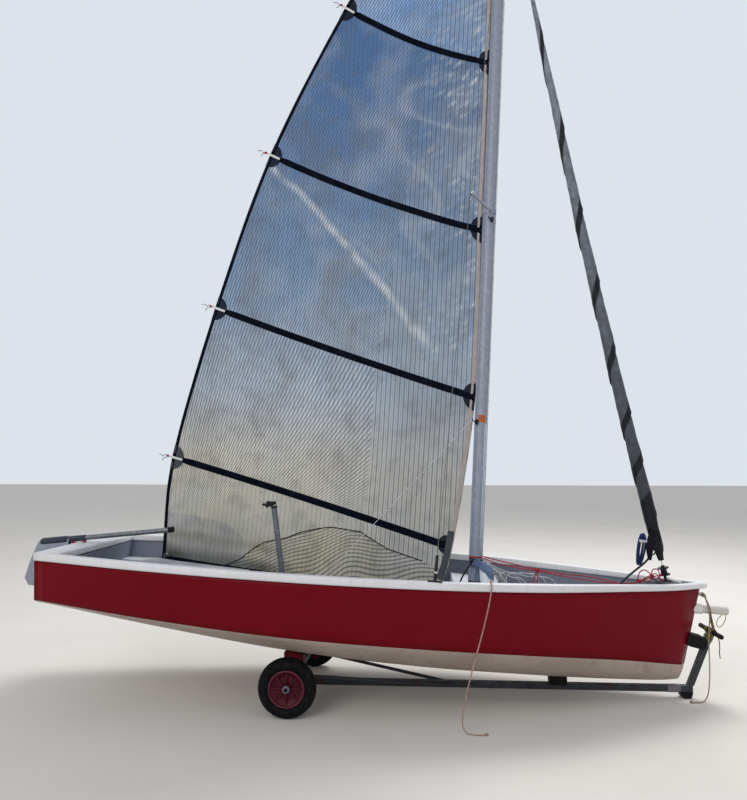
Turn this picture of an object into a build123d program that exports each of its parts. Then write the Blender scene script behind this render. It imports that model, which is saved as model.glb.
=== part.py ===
"""A 14 foot sailing dinghy, rigged, standing on its launching trolley.

The row frame has +X towards the bow, +Y to port and +Z up, in millimetres. The ground is Z = 0.
The boat's own frame is (u, v, w): u forward from the transom, v to port and w up from the baseline.
The trolley lifts the stern, so the boat's frame is pitched bow down by PITCH.
"""

import os
from math import atan2, cos, hypot, pi, radians, sin, tan

from build123d import *

# How the boat stands on the trolley
PITCH = radians(4.2)
HULL_X = -2043.5
HULL_Z = 390.0
U_DIR = Vector(cos(PITCH), 0, -sin(PITCH))
V_DIR = Vector(0, 1, 0)
W_DIR = Vector(sin(PITCH), 0, cos(PITCH))

# Hull form: u, half-beam and height at the sheer, half-beam and height at the chine, keel height
STATIONS = [
    (0, 605, 578, 548, 287, 232),
    (750, 738, 594, 664, 262, 140),
    (1600, 793, 611, 720, 239, 52),
    (2400, 735, 626, 660, 230, 12),
    (3100, 572, 640, 498, 212, 8),
    (3700, 325, 653, 262, 178, 14),
    (4080, 138, 662, 96, 142, 34),
]
HULL_STEPS = 15
STEM_FOOT_U = 4118
STEM_RAKE = radians(9.1)
STEM = (26, 676, 16, 132, 76)
TRANSOM_T = 8
SHELL_T = 8
BOTTOM_T = 9
LINER_T = 4
BILGE_SHARE = 0.55
DEADRISE = 0.12
BILGE_BULGE = 0.10
FIT_GAP = 1.5

# Gunwale and decks
RIM_OUT = 14
RIM_IN = 46
RIM_UP = 8
RIM_UP_BOW = -4
RIM_FALL_U = (3100, 4080)
RIM_DOWN = 40
RIM_ROUND = 13
RIM_TIP = (4232, 34, 669)
CAP_DEPTH = 130
CAP_RISE = 3.5
SEAT_W = 420
SEAT_INNER_V = 420
TANK_GAP = SHELL_T + LINER_T + 3
FLOOR_T = 12
FLOOR_AFT_W = 300
FLOOR_SLOPE = -0.031
THWART_U = (2620, 2950)
THWART_W = 495
CLEAT_AT = (2802, -313)
FOREDECK_W = 350
FOREDECK_END_U = 4060
BOW_DECK_U = (3950, 4190)
BOW_DECK_W = (640, 652)

# Cockpit fittings
CASE_U = (1560, 2560)
CASE_HALF = 32
CASE_TOP_W = 430
SLOT_HALF = 12
SLOT_END = 80
SLOT_BOTTOM_W = 332
BOARD_HALF = 9
BOARD_TOP_W = 462
POST_FOOT = (1487, 254)
POST_TOP = (1346, 925)
POST_R = 19
POST_WALL = 2.5
BOOM_V = -385
BOOM_U = (320, 2500)
BOOM_R = 27

# Rig
MAST_FOOT = (2756.45, 513)
MAST_RAKE = 0.0207
MAST_LENGTH = 6005
MAST_SEMI = (38, 29)
MAST_WALL = 2.5
SPREADER_W = 3100
SPREADER_TIP = (2549, 425, 3070)
SPREADER_R = 8
HOUND_W = 5500
WIRE_R = 2.0
CHAINPLATE_U = 2465
CHAINPLATE_V = 722
BOOT_R = 9
TACK = (4010, 652)
DRUM_W = (690, 752)
DRUM_R = 36
# Furled jib: height above the tack along the stay, radius, sag aft of the stay
JIB_ROLL = [(138, 19, 0), (230, 36, -3), (430, 46, -8), (1300, 44, -24), (2500, 38, -28), (3600, 28, -14), (4300, 14, -2)]
# Mainsail sections from foot to head: luff u, w and leech u, v, w, then camber
SAIL = [
    (2515, 478, 384, 565, 455, 60),
    (2588, 754, 389, 575, 1213, 120),
    (2679, 1789, 627, 560, 2415, 130),
    (2654, 2970, 977, 500, 3661, 120),
    (2629, 4204, 1499, 400, 4843, 95),
    (2608, 5230, 1960, 270, 5590, 50),
    (2587, 6250, 2450, 60, 6330, 8),
]
SAIL_T = 5
BATTEN_T = 4
BATTEN_H = 38
BATTEN_OUT = 45

# Steering
PINTLE_U = -60
PINTLE_R = 5.0
PINTLE_PLAY = 0.06
GUDGEONS_W = (296, 500)
CHEEK_V = (18, 24)
TILLER_AFT = (-285, 563)
TILLER_FORE = (615, 716)
TILLER_R = 17
EXTENSION_R = 9
EXTENSION_START = 260

# Gennaker pole
POLE_W = 490
POLE_U = (2965, 4410)
POLE_R = 27
POLE_WALL = 2.5
POLE_PLAY = 0.6
BUSH_R = 33
BUSH_U = (4100, 4243)
GUIDE_U = (3796, 3824)
EYE_U = 4243
EYE_W = 585

# Trolley
AXLE_X = -428.5
TYRE_R = 178
TYRE_HALF = 45
TRACK_HALF = 550
RIM_R = 112
HUB_R = 24
STUB_R = 12.5
STUB_PLAY = 0.06
BEAM = 40
BEAM_HALF_Y = 478
DRAWBAR_Z = 58
DRAWBAR_X = (-470, 2146)
POST_BASE = (2130, 70)
POST_HEAD = (2273, 412)
SNUBBER_AT = (4206, 284)
SNUBBER_SIZE = (122, 78, 104)
SNUBBER_TILT = 10
HANDLE_HALF = 172
GRIP_R = 15
PAD_U = (1555, 1715)
PAD_V = (330, 490)
PAD_Z = 300
KEEL_REST_U = (3276, 3386)

# Bag of cloth standing on the thwart beside the mast
BAG_RINGS = [
    (495.3, 2842, -112, 47),
    (520, 2842, -112, 58),
    (565, 2838, -110, 56),
    (610, 2822, -101, 46),
    (648, 2802, -89, 31),
    (668, 2794, -84, 15),
]

# Free ropes, as points of the row frame
ROPE_R = 4
SIDE_ROPE = [
    (788, -336, 696), (786, -385, 692), (781, -450, 689), (781, -515, 691), (783, -560, 707),
    (787, -580, 744), (789, -588, 790), (792, -598, 834), (792, -635, 848), (791, -673, 838),
    (788, -688, 788), (774, -689, 710), (749, -690, 610), (722, -692, 510), (692, -695, 410),
    (663, -698, 310), (640, -702, 220), (622, -707, 140), (612, -712, 75), (614, -722, 28),
    (634, -738, 4.5), (668, -752, 4.5), (706, -758, 4.5), (742, -752, 4.5),
]
BOW_LINE = [
    (2244, -8, 654), (2252, -20, 632), (2258, -36, 598), (2259, -45, 550), (2257, -47, 500),
    (2252, -48, 450), (2247, -50, 395), (2244, -53, 330), (2243, -58, 262), (2240, -64, 196),
    (2234, -72, 134), (2224, -82, 78), (2208, -94, 32), (2178, -108, 4.5), (2136, -118, 4.5),
    (2094, -120, 4.5),
]


def hull_point(u, v, w):
    """Row-frame position of a point given in the boat's own frame."""
    return Vector(HULL_X, 0, HULL_Z) + U_DIR * u + V_DIR * v + W_DIR * w


def station(u):
    """Plane across the boat at u, with local axes v and w."""
    return Plane(origin=hull_point(u, 0, 0), x_dir=V_DIR, z_dir=U_DIR)


def level(w):
    """Plane along the deck at w, with local axes u and v."""
    return Plane(origin=hull_point(0, 0, w), x_dir=U_DIR, z_dir=W_DIR)


def profile(v=0):
    """Fore-and-aft plane at v, with local axes u and w; its normal points to starboard."""
    return Plane(origin=hull_point(0, v, 0), x_dir=U_DIR, z_dir=-V_DIR)


def stem_plane():
    """Plane of the raked stem, with local axes v and the distance up the stem."""
    normal = U_DIR * cos(STEM_RAKE) - W_DIR * sin(STEM_RAKE)
    return Plane(origin=hull_point(STEM_FOOT_U, 0, 0), x_dir=V_DIR, z_dir=normal)


def faired_row(u):
    """The hull's row of half-beams and heights at u, on smooth curves through STATIONS."""
    last = len(STATIONS) - 1
    i = min(max(k for k in range(len(STATIONS)) if STATIONS[k][0] <= u), last - 1)
    start, end = STATIONS[i], STATIONS[i + 1]
    before, after = STATIONS[max(i - 1, 0)], STATIONS[min(i + 2, last)]
    span = end[0] - start[0]
    t = (u - start[0]) / span
    row = []
    for k in range(1, len(start)):
        slope_in = (end[k] - before[k]) / (end[0] - before[0]) * span
        slope_out = (after[k] - start[k]) / (after[0] - start[0]) * span
        bend = start[k] * (2 * t**3 - 3 * t**2 + 1) + end[k] * (3 * t**2 - 2 * t**3)
        row.append(bend + slope_in * (t**3 - 2 * t**2 + t) + slope_out * (t**3 - t**2))
    return tuple(row)


HULL_U = [STATIONS[-1][0] * k / HULL_STEPS for k in range(HULL_STEPS + 1)]
HULL_ROWS = [faired_row(u) for u in HULL_U]


def row_at(u):
    """The hull's row at u on the straight panels between its sections."""
    k = min(max(i for i in range(HULL_STEPS + 1) if HULL_U[i] <= u), HULL_STEPS - 1)
    t = (u - HULL_U[k]) / (HULL_U[k + 1] - HULL_U[k])
    return tuple(a + (b - a) * t for a, b in zip(HULL_ROWS[k], HULL_ROWS[k + 1]))


def hull_rows(start_u=0, end_u=None):
    """Section planes and rows between two stations; without end_u they go on to the stem."""
    limit = HULL_U[-1] if end_u is None else end_u
    inner = [u for u in HULL_U if start_u < u < limit]
    rows = [(station(u), u, row_at(u)) for u in [start_u, *inner, limit]]
    if end_u is None:
        rows.append((stem_plane(), None, STEM))
    return rows


def side_v(row, w):
    """Half-beam of the outer topside at height w, on the straight line from chine to sheer."""
    sheer_v, sheer_w, chine_v, chine_w, _ = row
    return chine_v + (sheer_v - chine_v) * (w - chine_w) / (sheer_w - chine_w)


def floor_w(u):
    """Height of the sloping cockpit floor."""
    return FLOOR_AFT_W + FLOOR_SLOPE * u


def loft_polygons(sections):
    """Loft through one polygon on each plane, inside the open part builder."""
    outlines = []
    for plane, points in sections:
        with BuildSketch(plane) as outline:
            Polygon(*points, align=None)
        outlines.append(outline.sketch)
    loft(outlines, ruled=True)


def bottom_points(row, inset):
    """Chine, bilge and keel points of half a bottom section, moved inwards by inset."""
    _, _, chine_v, chine_w, keel_w = row
    inset_v = min(inset, 0.45 * chine_v)
    bend_v = BILGE_SHARE * chine_v
    bend_w = min(keel_w + DEADRISE * bend_v, keel_w + 0.6 * (chine_w - keel_w))
    run_v, run_w = bend_v - chine_v, bend_w - chine_w
    mid_v = (chine_v + bend_v) / 2 - BILGE_BULGE * run_w
    mid_w = (chine_w + bend_w) / 2 + BILGE_BULGE * run_v
    chine = (chine_v - inset_v, chine_w)
    bilge = (mid_v - 0.6 * inset_v, mid_w + 0.7 * inset)
    bend = (bend_v - 0.3 * inset_v, bend_w + inset)
    return chine, bilge, bend, (0, keel_w + inset)


def mirror_v(point):
    return (-point[0], point[1])


def bottom_curve(row, inset):
    """Line objects of a whole bottom section from the port chine to the starboard chine."""
    chine, bilge, bend, keel = bottom_points(row, inset)
    ThreePointArc(chine, bilge, bend)
    Line(bend, keel)
    Line(keel, mirror_v(bend))
    ThreePointArc(mirror_v(bend), mirror_v(bilge), mirror_v(chine))
    return chine


def save(piece, name):
    piece.part.label = name
    export_step(piece.part, f"parts/{name}.step")


def save_pair(piece, name):
    """Write a port piece and its mirror image to starboard."""
    save(piece, f"{name}_port")
    with BuildPart() as twin:
        add(piece.part)
        mirror(about=Plane.XZ, mode=Mode.REPLACE)
    save(twin, f"{name}_starboard")


os.makedirs("parts", exist_ok=True)

# Hull form 1 mm outside the real one, to shape what the hull rests on
with BuildPart() as hull_form:
    for plane, _, row in hull_rows():
        grown = (row[0] + 1, row[1], row[2] + 1, row[3], row[4] - 1)
        with BuildSketch(plane):
            with BuildLine():
                chine = bottom_curve(grown, 0)
                sheer = (grown[0], grown[1])
                Polyline(mirror_v(chine), mirror_v(sheer), sheer, chine)
            make_face()
    loft(ruled=True)

# Where the gennaker pole passes through the stem
with BuildPart() as pole_path:
    with BuildSketch(station(BUSH_U[0] - 40)):
        with Locations((0, POLE_W)):
            Circle(BUSH_R + 0.5)
    extrude(amount=400)

# Topsides, from the chine to the underside of the gunwale
with BuildPart() as topside:
    sections = []
    for plane, _, row in hull_rows():
        top_w = row[1] - RIM_DOWN - 0.5
        top_v = side_v(row, top_w)
        inner = [(top_v - SHELL_T, top_w), (row[2] - SHELL_T, row[3])]
        sections.append((plane, [(row[2], row[3]), (top_v, top_w), *inner]))
    loft_polygons(sections)
    add(pole_path.part, mode=Mode.SUBTRACT)
save_pair(topside, "topside")

# Bottom shell below the chine
with BuildPart() as bottom:
    for plane, _, row in hull_rows():
        lowered = (row[0], row[1], row[2], row[3] - 0.5, row[4] - 0.5)
        with BuildSketch(plane):
            with BuildLine():
                outer = bottom_curve(lowered, 0)
                inner = bottom_curve(lowered, BOTTOM_T)
                Line(outer, inner)
                Line(mirror_v(outer), mirror_v(inner))
            make_face()
    loft(ruled=True)
save(bottom, "hull_bottom")

# Transom plate over the aft ends of the shells
with BuildPart() as transom:
    aft = HULL_ROWS[0]
    with BuildSketch(station(-TRANSOM_T)):
        with BuildLine():
            chine = bottom_curve(aft, 0)
            top_w = aft[1] - RIM_DOWN + CAP_RISE - 0.5
            top = (side_v(aft, top_w), top_w)
            Polyline(mirror_v(chine), mirror_v(top), top, chine)
        make_face()
    extrude(amount=TRANSOM_T)
save(transom, "transom")

# Gunwale rim all round the sheer
RIM_WIDTH = RIM_OUT + RIM_IN
RIM_HEIGHT = RIM_UP + RIM_DOWN


def rim_up(u):
    """How far the gunwale's top stands above the sheer line at a station; it falls towards the bow."""
    share = (u - RIM_FALL_U[0]) / (RIM_FALL_U[1] - RIM_FALL_U[0])
    return RIM_UP + (RIM_UP_BOW - RIM_UP) * min(max(share, 0), 1)


with BuildPart() as side_rim:
    for plane, u, row in hull_rows(end_u=HULL_U[-1]):
        with BuildSketch(plane):
            with Locations((row[0] + (RIM_OUT - RIM_IN) / 2, row[1] + (rim_up(u) - RIM_DOWN) / 2)):
                RectangleRounded(RIM_WIDTH, rim_up(u) + RIM_DOWN, RIM_ROUND)
    with BuildSketch(station(RIM_TIP[0])):
        with Locations((RIM_TIP[1], RIM_TIP[2] + (RIM_UP_BOW - RIM_DOWN) / 2)):
            RectangleRounded(RIM_WIDTH, RIM_UP_BOW + RIM_DOWN, RIM_ROUND)
    loft(ruled=True)

with BuildPart() as gunwale:
    add(side_rim.part)
    mirror(about=Plane.XZ)
    cap_w = STATIONS[0][2] - RIM_DOWN + CAP_RISE
    with BuildSketch(level(cap_w)):
        with Locations(((CAP_DEPTH - 16) / 2, 0)):
            RectangleRounded(CAP_DEPTH + 16, 2 * (STATIONS[0][1] + RIM_OUT - 1), 12)
    extrude(amount=RIM_HEIGHT - CAP_RISE - 1)
    with BuildSketch(level(RIM_TIP[2] - RIM_DOWN + 1)):
        Polygon(
            (4180, -66), (4238, -60), (4264, -38), (4272, 0), (4264, 38), (4238, 60), (4180, 66),
            align=None,
        )
    extrude(amount=RIM_UP_BOW + RIM_DOWN - 2)
save(gunwale, "gunwale")

# Inner walls of the deck moulding, behind the topsides
with BuildPart() as inner_walls:
    sections = []
    for plane, _, row in hull_rows(CAP_DEPTH + 1, HULL_U[-1]):
        low_w, top_w = FOREDECK_W + 1, row[1] - RIM_DOWN - 1
        low_v, top_v = (side_v(row, w) - SHELL_T - FIT_GAP for w in (low_w, top_w))
        inner = [(top_v - LINER_T, top_w), (low_v - LINER_T, low_w)]
        sections.append((plane, [(low_v, low_w), (top_v, top_w), *inner]))
    loft_polygons(sections)
    mirror(about=Plane.XZ)
save(inner_walls, "inner_walls")

# Side buoyancy tanks, whose tops are the seats
with BuildPart() as side_tank:
    sections = []
    for plane, u, row in hull_rows(CAP_DEPTH + 1, THWART_U[0]):
        low_w = max(floor_w(u), row[3] + 12)
        outer = [(side_v(row, w) - TANK_GAP, w) for w in (SEAT_W, low_w)]
        sections.append((plane, [(SEAT_INNER_V, low_w), (SEAT_INNER_V, SEAT_W), *outer]))
    loft_polygons(sections)
save_pair(side_tank, "side_tank")

# Aft tank under the transom cap
with BuildPart() as aft_tank:
    sections = []
    for plane, _, row in hull_rows(1, CAP_DEPTH):
        right = [(side_v(row, w) - TANK_GAP, w) for w in (FLOOR_AFT_W, cap_w - 5)]
        left = [mirror_v(point) for point in reversed(right)]
        sections.append((plane, right + left))
    loft_polygons(sections)
save(aft_tank, "aft_tank")

# Cockpit floor between the side tanks
with BuildPart() as floor:
    aft_u = CAP_DEPTH + 1
    with BuildSketch(profile(SEAT_INNER_V - 1)):
        Polygon(
            (aft_u, floor_w(aft_u)),
            (aft_u, floor_w(aft_u) - FLOOR_T),
            (THWART_U[0], floor_w(THWART_U[0]) - FLOOR_T),
            (THWART_U[0], floor_w(THWART_U[0])),
            align=None,
        )
    extrude(amount=2 * (SEAT_INNER_V - 1))
save(floor, "cockpit_floor")

# Mast thwart and the tank under the foredeck
def cross_tank(u_range, top_w):
    """A solid across the boat between two stations, inside the shells."""
    sections = []
    for plane, _, row in hull_rows(*u_range):
        keel_w, chine_w = row[4], row[3]
        low = (0.5 * row[2], keel_w + 0.5 * (chine_w - keel_w))
        knee = (side_v(row, chine_w + 6) - TANK_GAP, chine_w + 6)
        right = [low, knee, (side_v(row, top_w) - TANK_GAP, top_w)]
        left = [mirror_v(point) for point in reversed(right)]
        sections.append((plane, right + left))
    loft_polygons(sections)


with BuildPart() as thwart:
    cross_tank((THWART_U[0] + 0.5, THWART_U[1]), THWART_W)
save(thwart, "mast_thwart")

# Rope cleat on the thwart, to starboard of the mast
with BuildPart() as cleat:
    with BuildSketch(level(THWART_W + 0.3)):
        with Locations(CLEAT_AT):
            RectangleRounded(70, 44, 12)
    extrude(amount=34)
save(cleat, "rope_cleat")

with BuildPart() as foredeck:
    cross_tank((THWART_U[1] + 0.5, FOREDECK_END_U), FOREDECK_W)
save(foredeck, "foredeck")

# Small deck at the bow, which carries the jib's tack
with BuildPart() as bow_deck:
    with BuildSketch(level(BOW_DECK_W[0])):
        Polygon(
            (3950, -140), (4080, -84), (4165, -32), (4165, 32), (4080, 84), (3950, 140), align=None
        )
    extrude(amount=BOW_DECK_W[1] - BOW_DECK_W[0])
save(bow_deck, "bow_deck")

# Centreboard case and the raised board in it
with BuildPart() as case:
    case_foot = [(u, floor_w(u) + 0.2) for u in (CASE_U[1], CASE_U[0])]
    with BuildSketch(profile(CASE_HALF)):
        Polygon((CASE_U[0], CASE_TOP_W), (CASE_U[1], CASE_TOP_W), *case_foot, align=None)
    extrude(amount=2 * CASE_HALF)
    with BuildSketch(level(CASE_TOP_W)):
        with Locations(((CASE_U[0] + CASE_U[1]) / 2, 0)):
            SlotOverall(CASE_U[1] - CASE_U[0] - 2 * SLOT_END, 2 * SLOT_HALF)
    extrude(amount=-(CASE_TOP_W - SLOT_BOTTOM_W), mode=Mode.SUBTRACT)
save(case, "centreboard_case")

with BuildPart() as board:
    board_u = (CASE_U[0] + SLOT_END + 25, CASE_U[1] - SLOT_END - 25)
    with BuildSketch(profile(BOARD_HALF)):
        with BuildLine():
            Polyline(
                (board_u[0], CASE_TOP_W + 4), (board_u[0], SLOT_BOTTOM_W), (board_u[1], SLOT_BOTTOM_W),
                (board_u[1], BOARD_TOP_W - 20),
            )
            TangentArc((board_u[1], BOARD_TOP_W - 20), (board_u[1] - 20, BOARD_TOP_W), tangent=(0, 1))
            Line((board_u[1] - 20, BOARD_TOP_W), (board_u[1] - 260, BOARD_TOP_W))
            Line((board_u[1] - 260, BOARD_TOP_W), (board_u[0], CASE_TOP_W + 4))
        make_face()
    extrude(amount=2 * BOARD_HALF)
save(board, "centreboard")


def spar_plane(start, end):
    """Plane across a straight spar in the boat's fore-and-aft plane, and the spar's length."""
    run_u, run_w = end[0] - start[0], end[1] - start[1]
    direction = U_DIR * run_u + W_DIR * run_w
    base = hull_point(start[0], 0, start[1])
    return Plane(origin=base, x_dir=V_DIR, z_dir=direction), hypot(run_u, run_w)


def tube(plane, length, radius, wall):
    """A round tube from a plane, inside the open part builder."""
    with BuildSketch(plane) as ring:
        Circle(radius)
        Circle(radius - wall, mode=Mode.SUBTRACT)
    extrude(ring.sketch, amount=length)


# Mainsheet post with its foot plate and the jammer on top
post_plane, post_length = spar_plane(POST_FOOT, POST_TOP)
with BuildPart() as sheet_post:
    with BuildSketch(post_plane.offset(12)):
        Circle(POST_R)
        Circle(POST_R - POST_WALL, mode=Mode.SUBTRACT)
    extrude(amount=post_length - 12)
    with BuildSketch(profile(45)):
        foot_u = (POST_FOOT[0] - 62, POST_FOOT[0] + 62)
        Polygon(
            (foot_u[0], floor_w(foot_u[0]) + 0.2), (foot_u[1], floor_w(foot_u[1]) + 0.2),
            (foot_u[1], floor_w(foot_u[1]) + 7), (POST_FOOT[0] + 30, floor_w(POST_FOOT[0]) + 24),
            (POST_FOOT[0] - 34, floor_w(POST_FOOT[0]) + 24), (foot_u[0], floor_w(foot_u[0]) + 7),
            align=None,
        )
    extrude(amount=90)
save(sheet_post, "mainsheet_post")

with BuildPart() as jammer:
    with BuildSketch(post_plane.offset(post_length + 0.2)):
        Circle(POST_R + 3)
    extrude(amount=16)
    with BuildSketch(profile(14)):
        with Locations((POST_TOP[0] - 26, POST_TOP[1] + 24)):
            with Locations(Rotation(0, 0, 25)):
                RectangleRounded(74, 26, 9)
    extrude(amount=28)
save(jammer, "mainsheet_jammer")

# Boom, unshipped and laid along the cockpit floor
with BuildPart() as boom:
    boom_line = [(u, floor_w(u) + BOOM_R + 1) for u in BOOM_U]
    run = U_DIR * (boom_line[1][0] - boom_line[0][0]) + W_DIR * (boom_line[1][1] - boom_line[0][1])
    boom_base = hull_point(boom_line[0][0], BOOM_V, boom_line[0][1])
    tube(Plane(origin=boom_base, x_dir=V_DIR, z_dir=run), run.length, BOOM_R, 2)
save(boom, "boom")

with BuildPart() as boom_ends:
    for end, way in ((0, -1), (run.length, 1)):
        end_plane = Plane(origin=boom_base + run.normalized() * end, x_dir=V_DIR, z_dir=run * way)
        with BuildSketch(end_plane.offset(0.2)):
            Circle(BOOM_R)
        extrude(amount=12)
        with BuildSketch(end_plane.offset(12)):
            Rectangle(12, 36)
        extrude(amount=34)
save(boom_ends, "boom_ends")

# Mast and its step
mast_dir = (W_DIR - U_DIR * MAST_RAKE).normalized()
mast_plane = Plane(origin=hull_point(MAST_FOOT[0], 0, MAST_FOOT[1]), x_dir=U_DIR, z_dir=mast_dir)


def mast_point(w, ahead=0.0, v=0.0):
    """A point beside the mast's axis at height w."""
    return hull_point(MAST_FOOT[0] - MAST_RAKE * (w - MAST_FOOT[1]) + ahead, v, w)


with BuildPart() as mast:
    with BuildSketch(mast_plane):
        Ellipse(*MAST_SEMI)
        with Locations((-MAST_SEMI[0] - 2, 0)):
            Rectangle(16, 15)
        Ellipse(MAST_SEMI[0] - MAST_WALL, MAST_SEMI[1] - MAST_WALL, mode=Mode.SUBTRACT)
        with Locations((-MAST_SEMI[0] - 7, 0)):
            Rectangle(8, 4, mode=Mode.SUBTRACT)
    extrude(amount=MAST_LENGTH)
save(mast, "mast")

with BuildPart() as mast_step:
    with BuildSketch(level(THWART_W + 0.2)):
        with Locations((MAST_FOOT[0], 0)):
            RectangleRounded(170, 84, 14)
    extrude(amount=MAST_FOOT[1] - THWART_W - 1.6)
save(mast_step, "mast_step")

with BuildPart() as mast_head:
    with BuildSketch(mast_plane.offset(MAST_LENGTH + 0.2)):
        Ellipse(MAST_SEMI[0] + 2, MAST_SEMI[1] + 2)
    extrude(amount=10)
    with BuildSketch(Plane(origin=mast_point(MAST_FOOT[1] + MAST_LENGTH, 0, 9), x_dir=U_DIR, z_dir=-V_DIR)):
        Polygon((-92, 22), (-92, 44), (-60, 48), (30, 30), (36, 8), (-40, 8), align=None)
    extrude(amount=18)
save(mast_head, "mast_head")


def wire(start, end, radius):
    """A straight round bar between two points of the row frame, inside the open part builder."""
    with BuildSketch(Plane(origin=start, z_dir=end - start)) as section:
        Circle(radius)
    extrude(section.sketch, amount=(end - start).length)


# Spreaders, swept aft, with the collar on the mast
with BuildPart() as spreaders:
    with BuildSketch(mast_plane.offset(SPREADER_W - MAST_FOOT[1] - 14)):
        Ellipse(MAST_SEMI[0] + 5, MAST_SEMI[1] + 5)
        with Locations((-MAST_SEMI[0] - 2, 0)):
            Rectangle(28, 24)
        Ellipse(MAST_SEMI[0] + 0.8, MAST_SEMI[1] + 0.8, mode=Mode.SUBTRACT)
        with Locations((-MAST_SEMI[0] - 6, 0)):
            Rectangle(24.8, 16.4, mode=Mode.SUBTRACT)
    extrude(amount=28)
    for side in (1, -1):
        root = mast_point(SPREADER_W, 0, side * (MAST_SEMI[1] + 4))
        wire(root, hull_point(SPREADER_TIP[0], side * SPREADER_TIP[1], SPREADER_TIP[2]), SPREADER_R)
save(spreaders, "spreaders")

# Shrouds, port and starboard, in two straight runs round the spreader's tip
with BuildPart() as shroud:
    rim_top = row_at(CHAINPLATE_U)[1] + RIM_UP + 1
    boot_top = hull_point(CHAINPLATE_U + 4, CHAINPLATE_V - 16, rim_top + 150)
    tip = hull_point(SPREADER_TIP[0] - 9, SPREADER_TIP[1] + 11, SPREADER_TIP[2])
    hound = mast_point(HOUND_W, 0, MAST_SEMI[1] + 4)
    wire(boot_top, tip, WIRE_R)
    wire(tip, hound, WIRE_R)
save_pair(shroud, "shroud")

with BuildPart() as chainplates:
    plate_foot = hull_point(CHAINPLATE_U, CHAINPLATE_V, rim_top + 0.2)
    with BuildSketch(Plane(origin=plate_foot, x_dir=U_DIR, z_dir=W_DIR)):
        RectangleRounded(86, 26, 8)
    extrude(amount=5)
    wire(plate_foot + W_DIR * 3, boot_top - W_DIR * 0.3, BOOT_R)
    mirror(about=Plane.XZ)
save(chainplates, "chainplates")

# Forestay, furler drum and furled jib
tack = hull_point(TACK[0], 0, TACK[1])
stay_top = mast_point(HOUND_W, MAST_SEMI[0] + 3)
stay_dir = (stay_top - tack).normalized()
stay_plane = Plane(origin=tack, x_dir=V_DIR, z_dir=stay_dir)
stay_length = (stay_top - tack).length
with BuildPart() as forestay:
    wire(tack + stay_dir * 104, tack + stay_dir * (JIB_ROLL[0][0] - 0.5), WIRE_R)
    wire(tack + stay_dir * (JIB_ROLL[-1][0] + 0.5), stay_top, WIRE_R)
save(forestay, "forestay")

with BuildPart() as drum:
    with BuildSketch(level(BOW_DECK_W[1] + 0.2)):
        with Locations((TACK[0], 0)):
            RectangleRounded(70, 34, 10)
    extrude(amount=6)
    for start, end, radius in ((8, 40, 9), (38, 46, DRUM_R), (45, 84, 20), (83, 90, DRUM_R), (89, 103, 12)):
        wire(tack + stay_dir * start, tack + stay_dir * end, radius)
    wire(hull_point(TACK[0], 0, BOW_DECK_W[1] + 4), tack + stay_dir * 20, 8)
save(drum, "furler_drum")

with BuildPart() as jib:
    for height, radius, sag in JIB_ROLL:
        with BuildSketch(stay_plane.offset(height)):
            with Locations((0, -sag)):
                Circle(radius)
    loft(ruled=True)
save(jib, "furled_jib")


def sail_section(row):
    """Plane, chord length and camber of one row of the sail table."""
    luff_u, luff_w, leech_u, leech_v, leech_w, camber = row
    luff = hull_point(luff_u, 0, luff_w)
    chord = hull_point(leech_u, leech_v, leech_w) - luff
    outward = (V_DIR - chord.normalized() * V_DIR.dot(chord.normalized())).normalized()
    normal = chord.cross(outward)
    return Plane(origin=luff, x_dir=chord, z_dir=normal), chord.length, camber


# Mainsail: an arc of cloth at each batten, from foot to head
with BuildPart() as mainsail:
    for row in SAIL:
        plane, chord, camber = sail_section(row)
        with BuildSketch(plane):
            with BuildLine():
                ThreePointArc((0, 0), (chord * 0.45, camber), (chord, 0))
                Line((chord, 0), (chord, SAIL_T))
                ThreePointArc((chord, SAIL_T), (chord * 0.45, camber + SAIL_T), (0, SAIL_T))
                Line((0, SAIL_T), (0, 0))
            make_face()
    loft(ruled=True)
save(mainsail, "mainsail")

with BuildPart() as battens:
    for row in SAIL[1:-1]:
        plane, chord, camber = sail_section(row)
        with BuildSketch(plane.offset(-BATTEN_H / 2)):
            with BuildLine():
                face = -5 - camber * 0.015
                ThreePointArc((12, face), (chord * 0.45, camber + face), (chord, face))
                Line((chord, face), (chord + BATTEN_OUT, face - 8))
                Line((chord + BATTEN_OUT, face - 8), (chord + BATTEN_OUT, face - 8 - BATTEN_T))
                Line((chord + BATTEN_OUT, face - 8 - BATTEN_T), (chord, face - BATTEN_T))
                ThreePointArc((chord, face - BATTEN_T), (chord * 0.45, camber + face - BATTEN_T), (12, face - BATTEN_T))
                Line((12, face - BATTEN_T), (12, face))
            make_face()
        extrude(amount=BATTEN_H)
save(battens, "battens")

# Rudder fittings on the transom
with BuildPart() as gudgeons:
    for w in GUDGEONS_W:
        with BuildSketch(level(w)):
            with Locations((-TRANSOM_T - 4.3, 0)):
                Rectangle(8, 70)
            with Locations(((PINTLE_U - TRANSOM_T - 4) / 2, 0)):
                Rectangle(PINTLE_U * -1 - TRANSOM_T - 4, 16)
            with Locations((PINTLE_U, 0)):
                Circle(11)
                Circle(PINTLE_R + PINTLE_PLAY, mode=Mode.SUBTRACT)
        extrude(amount=14)
save(gudgeons, "gudgeons")

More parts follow.
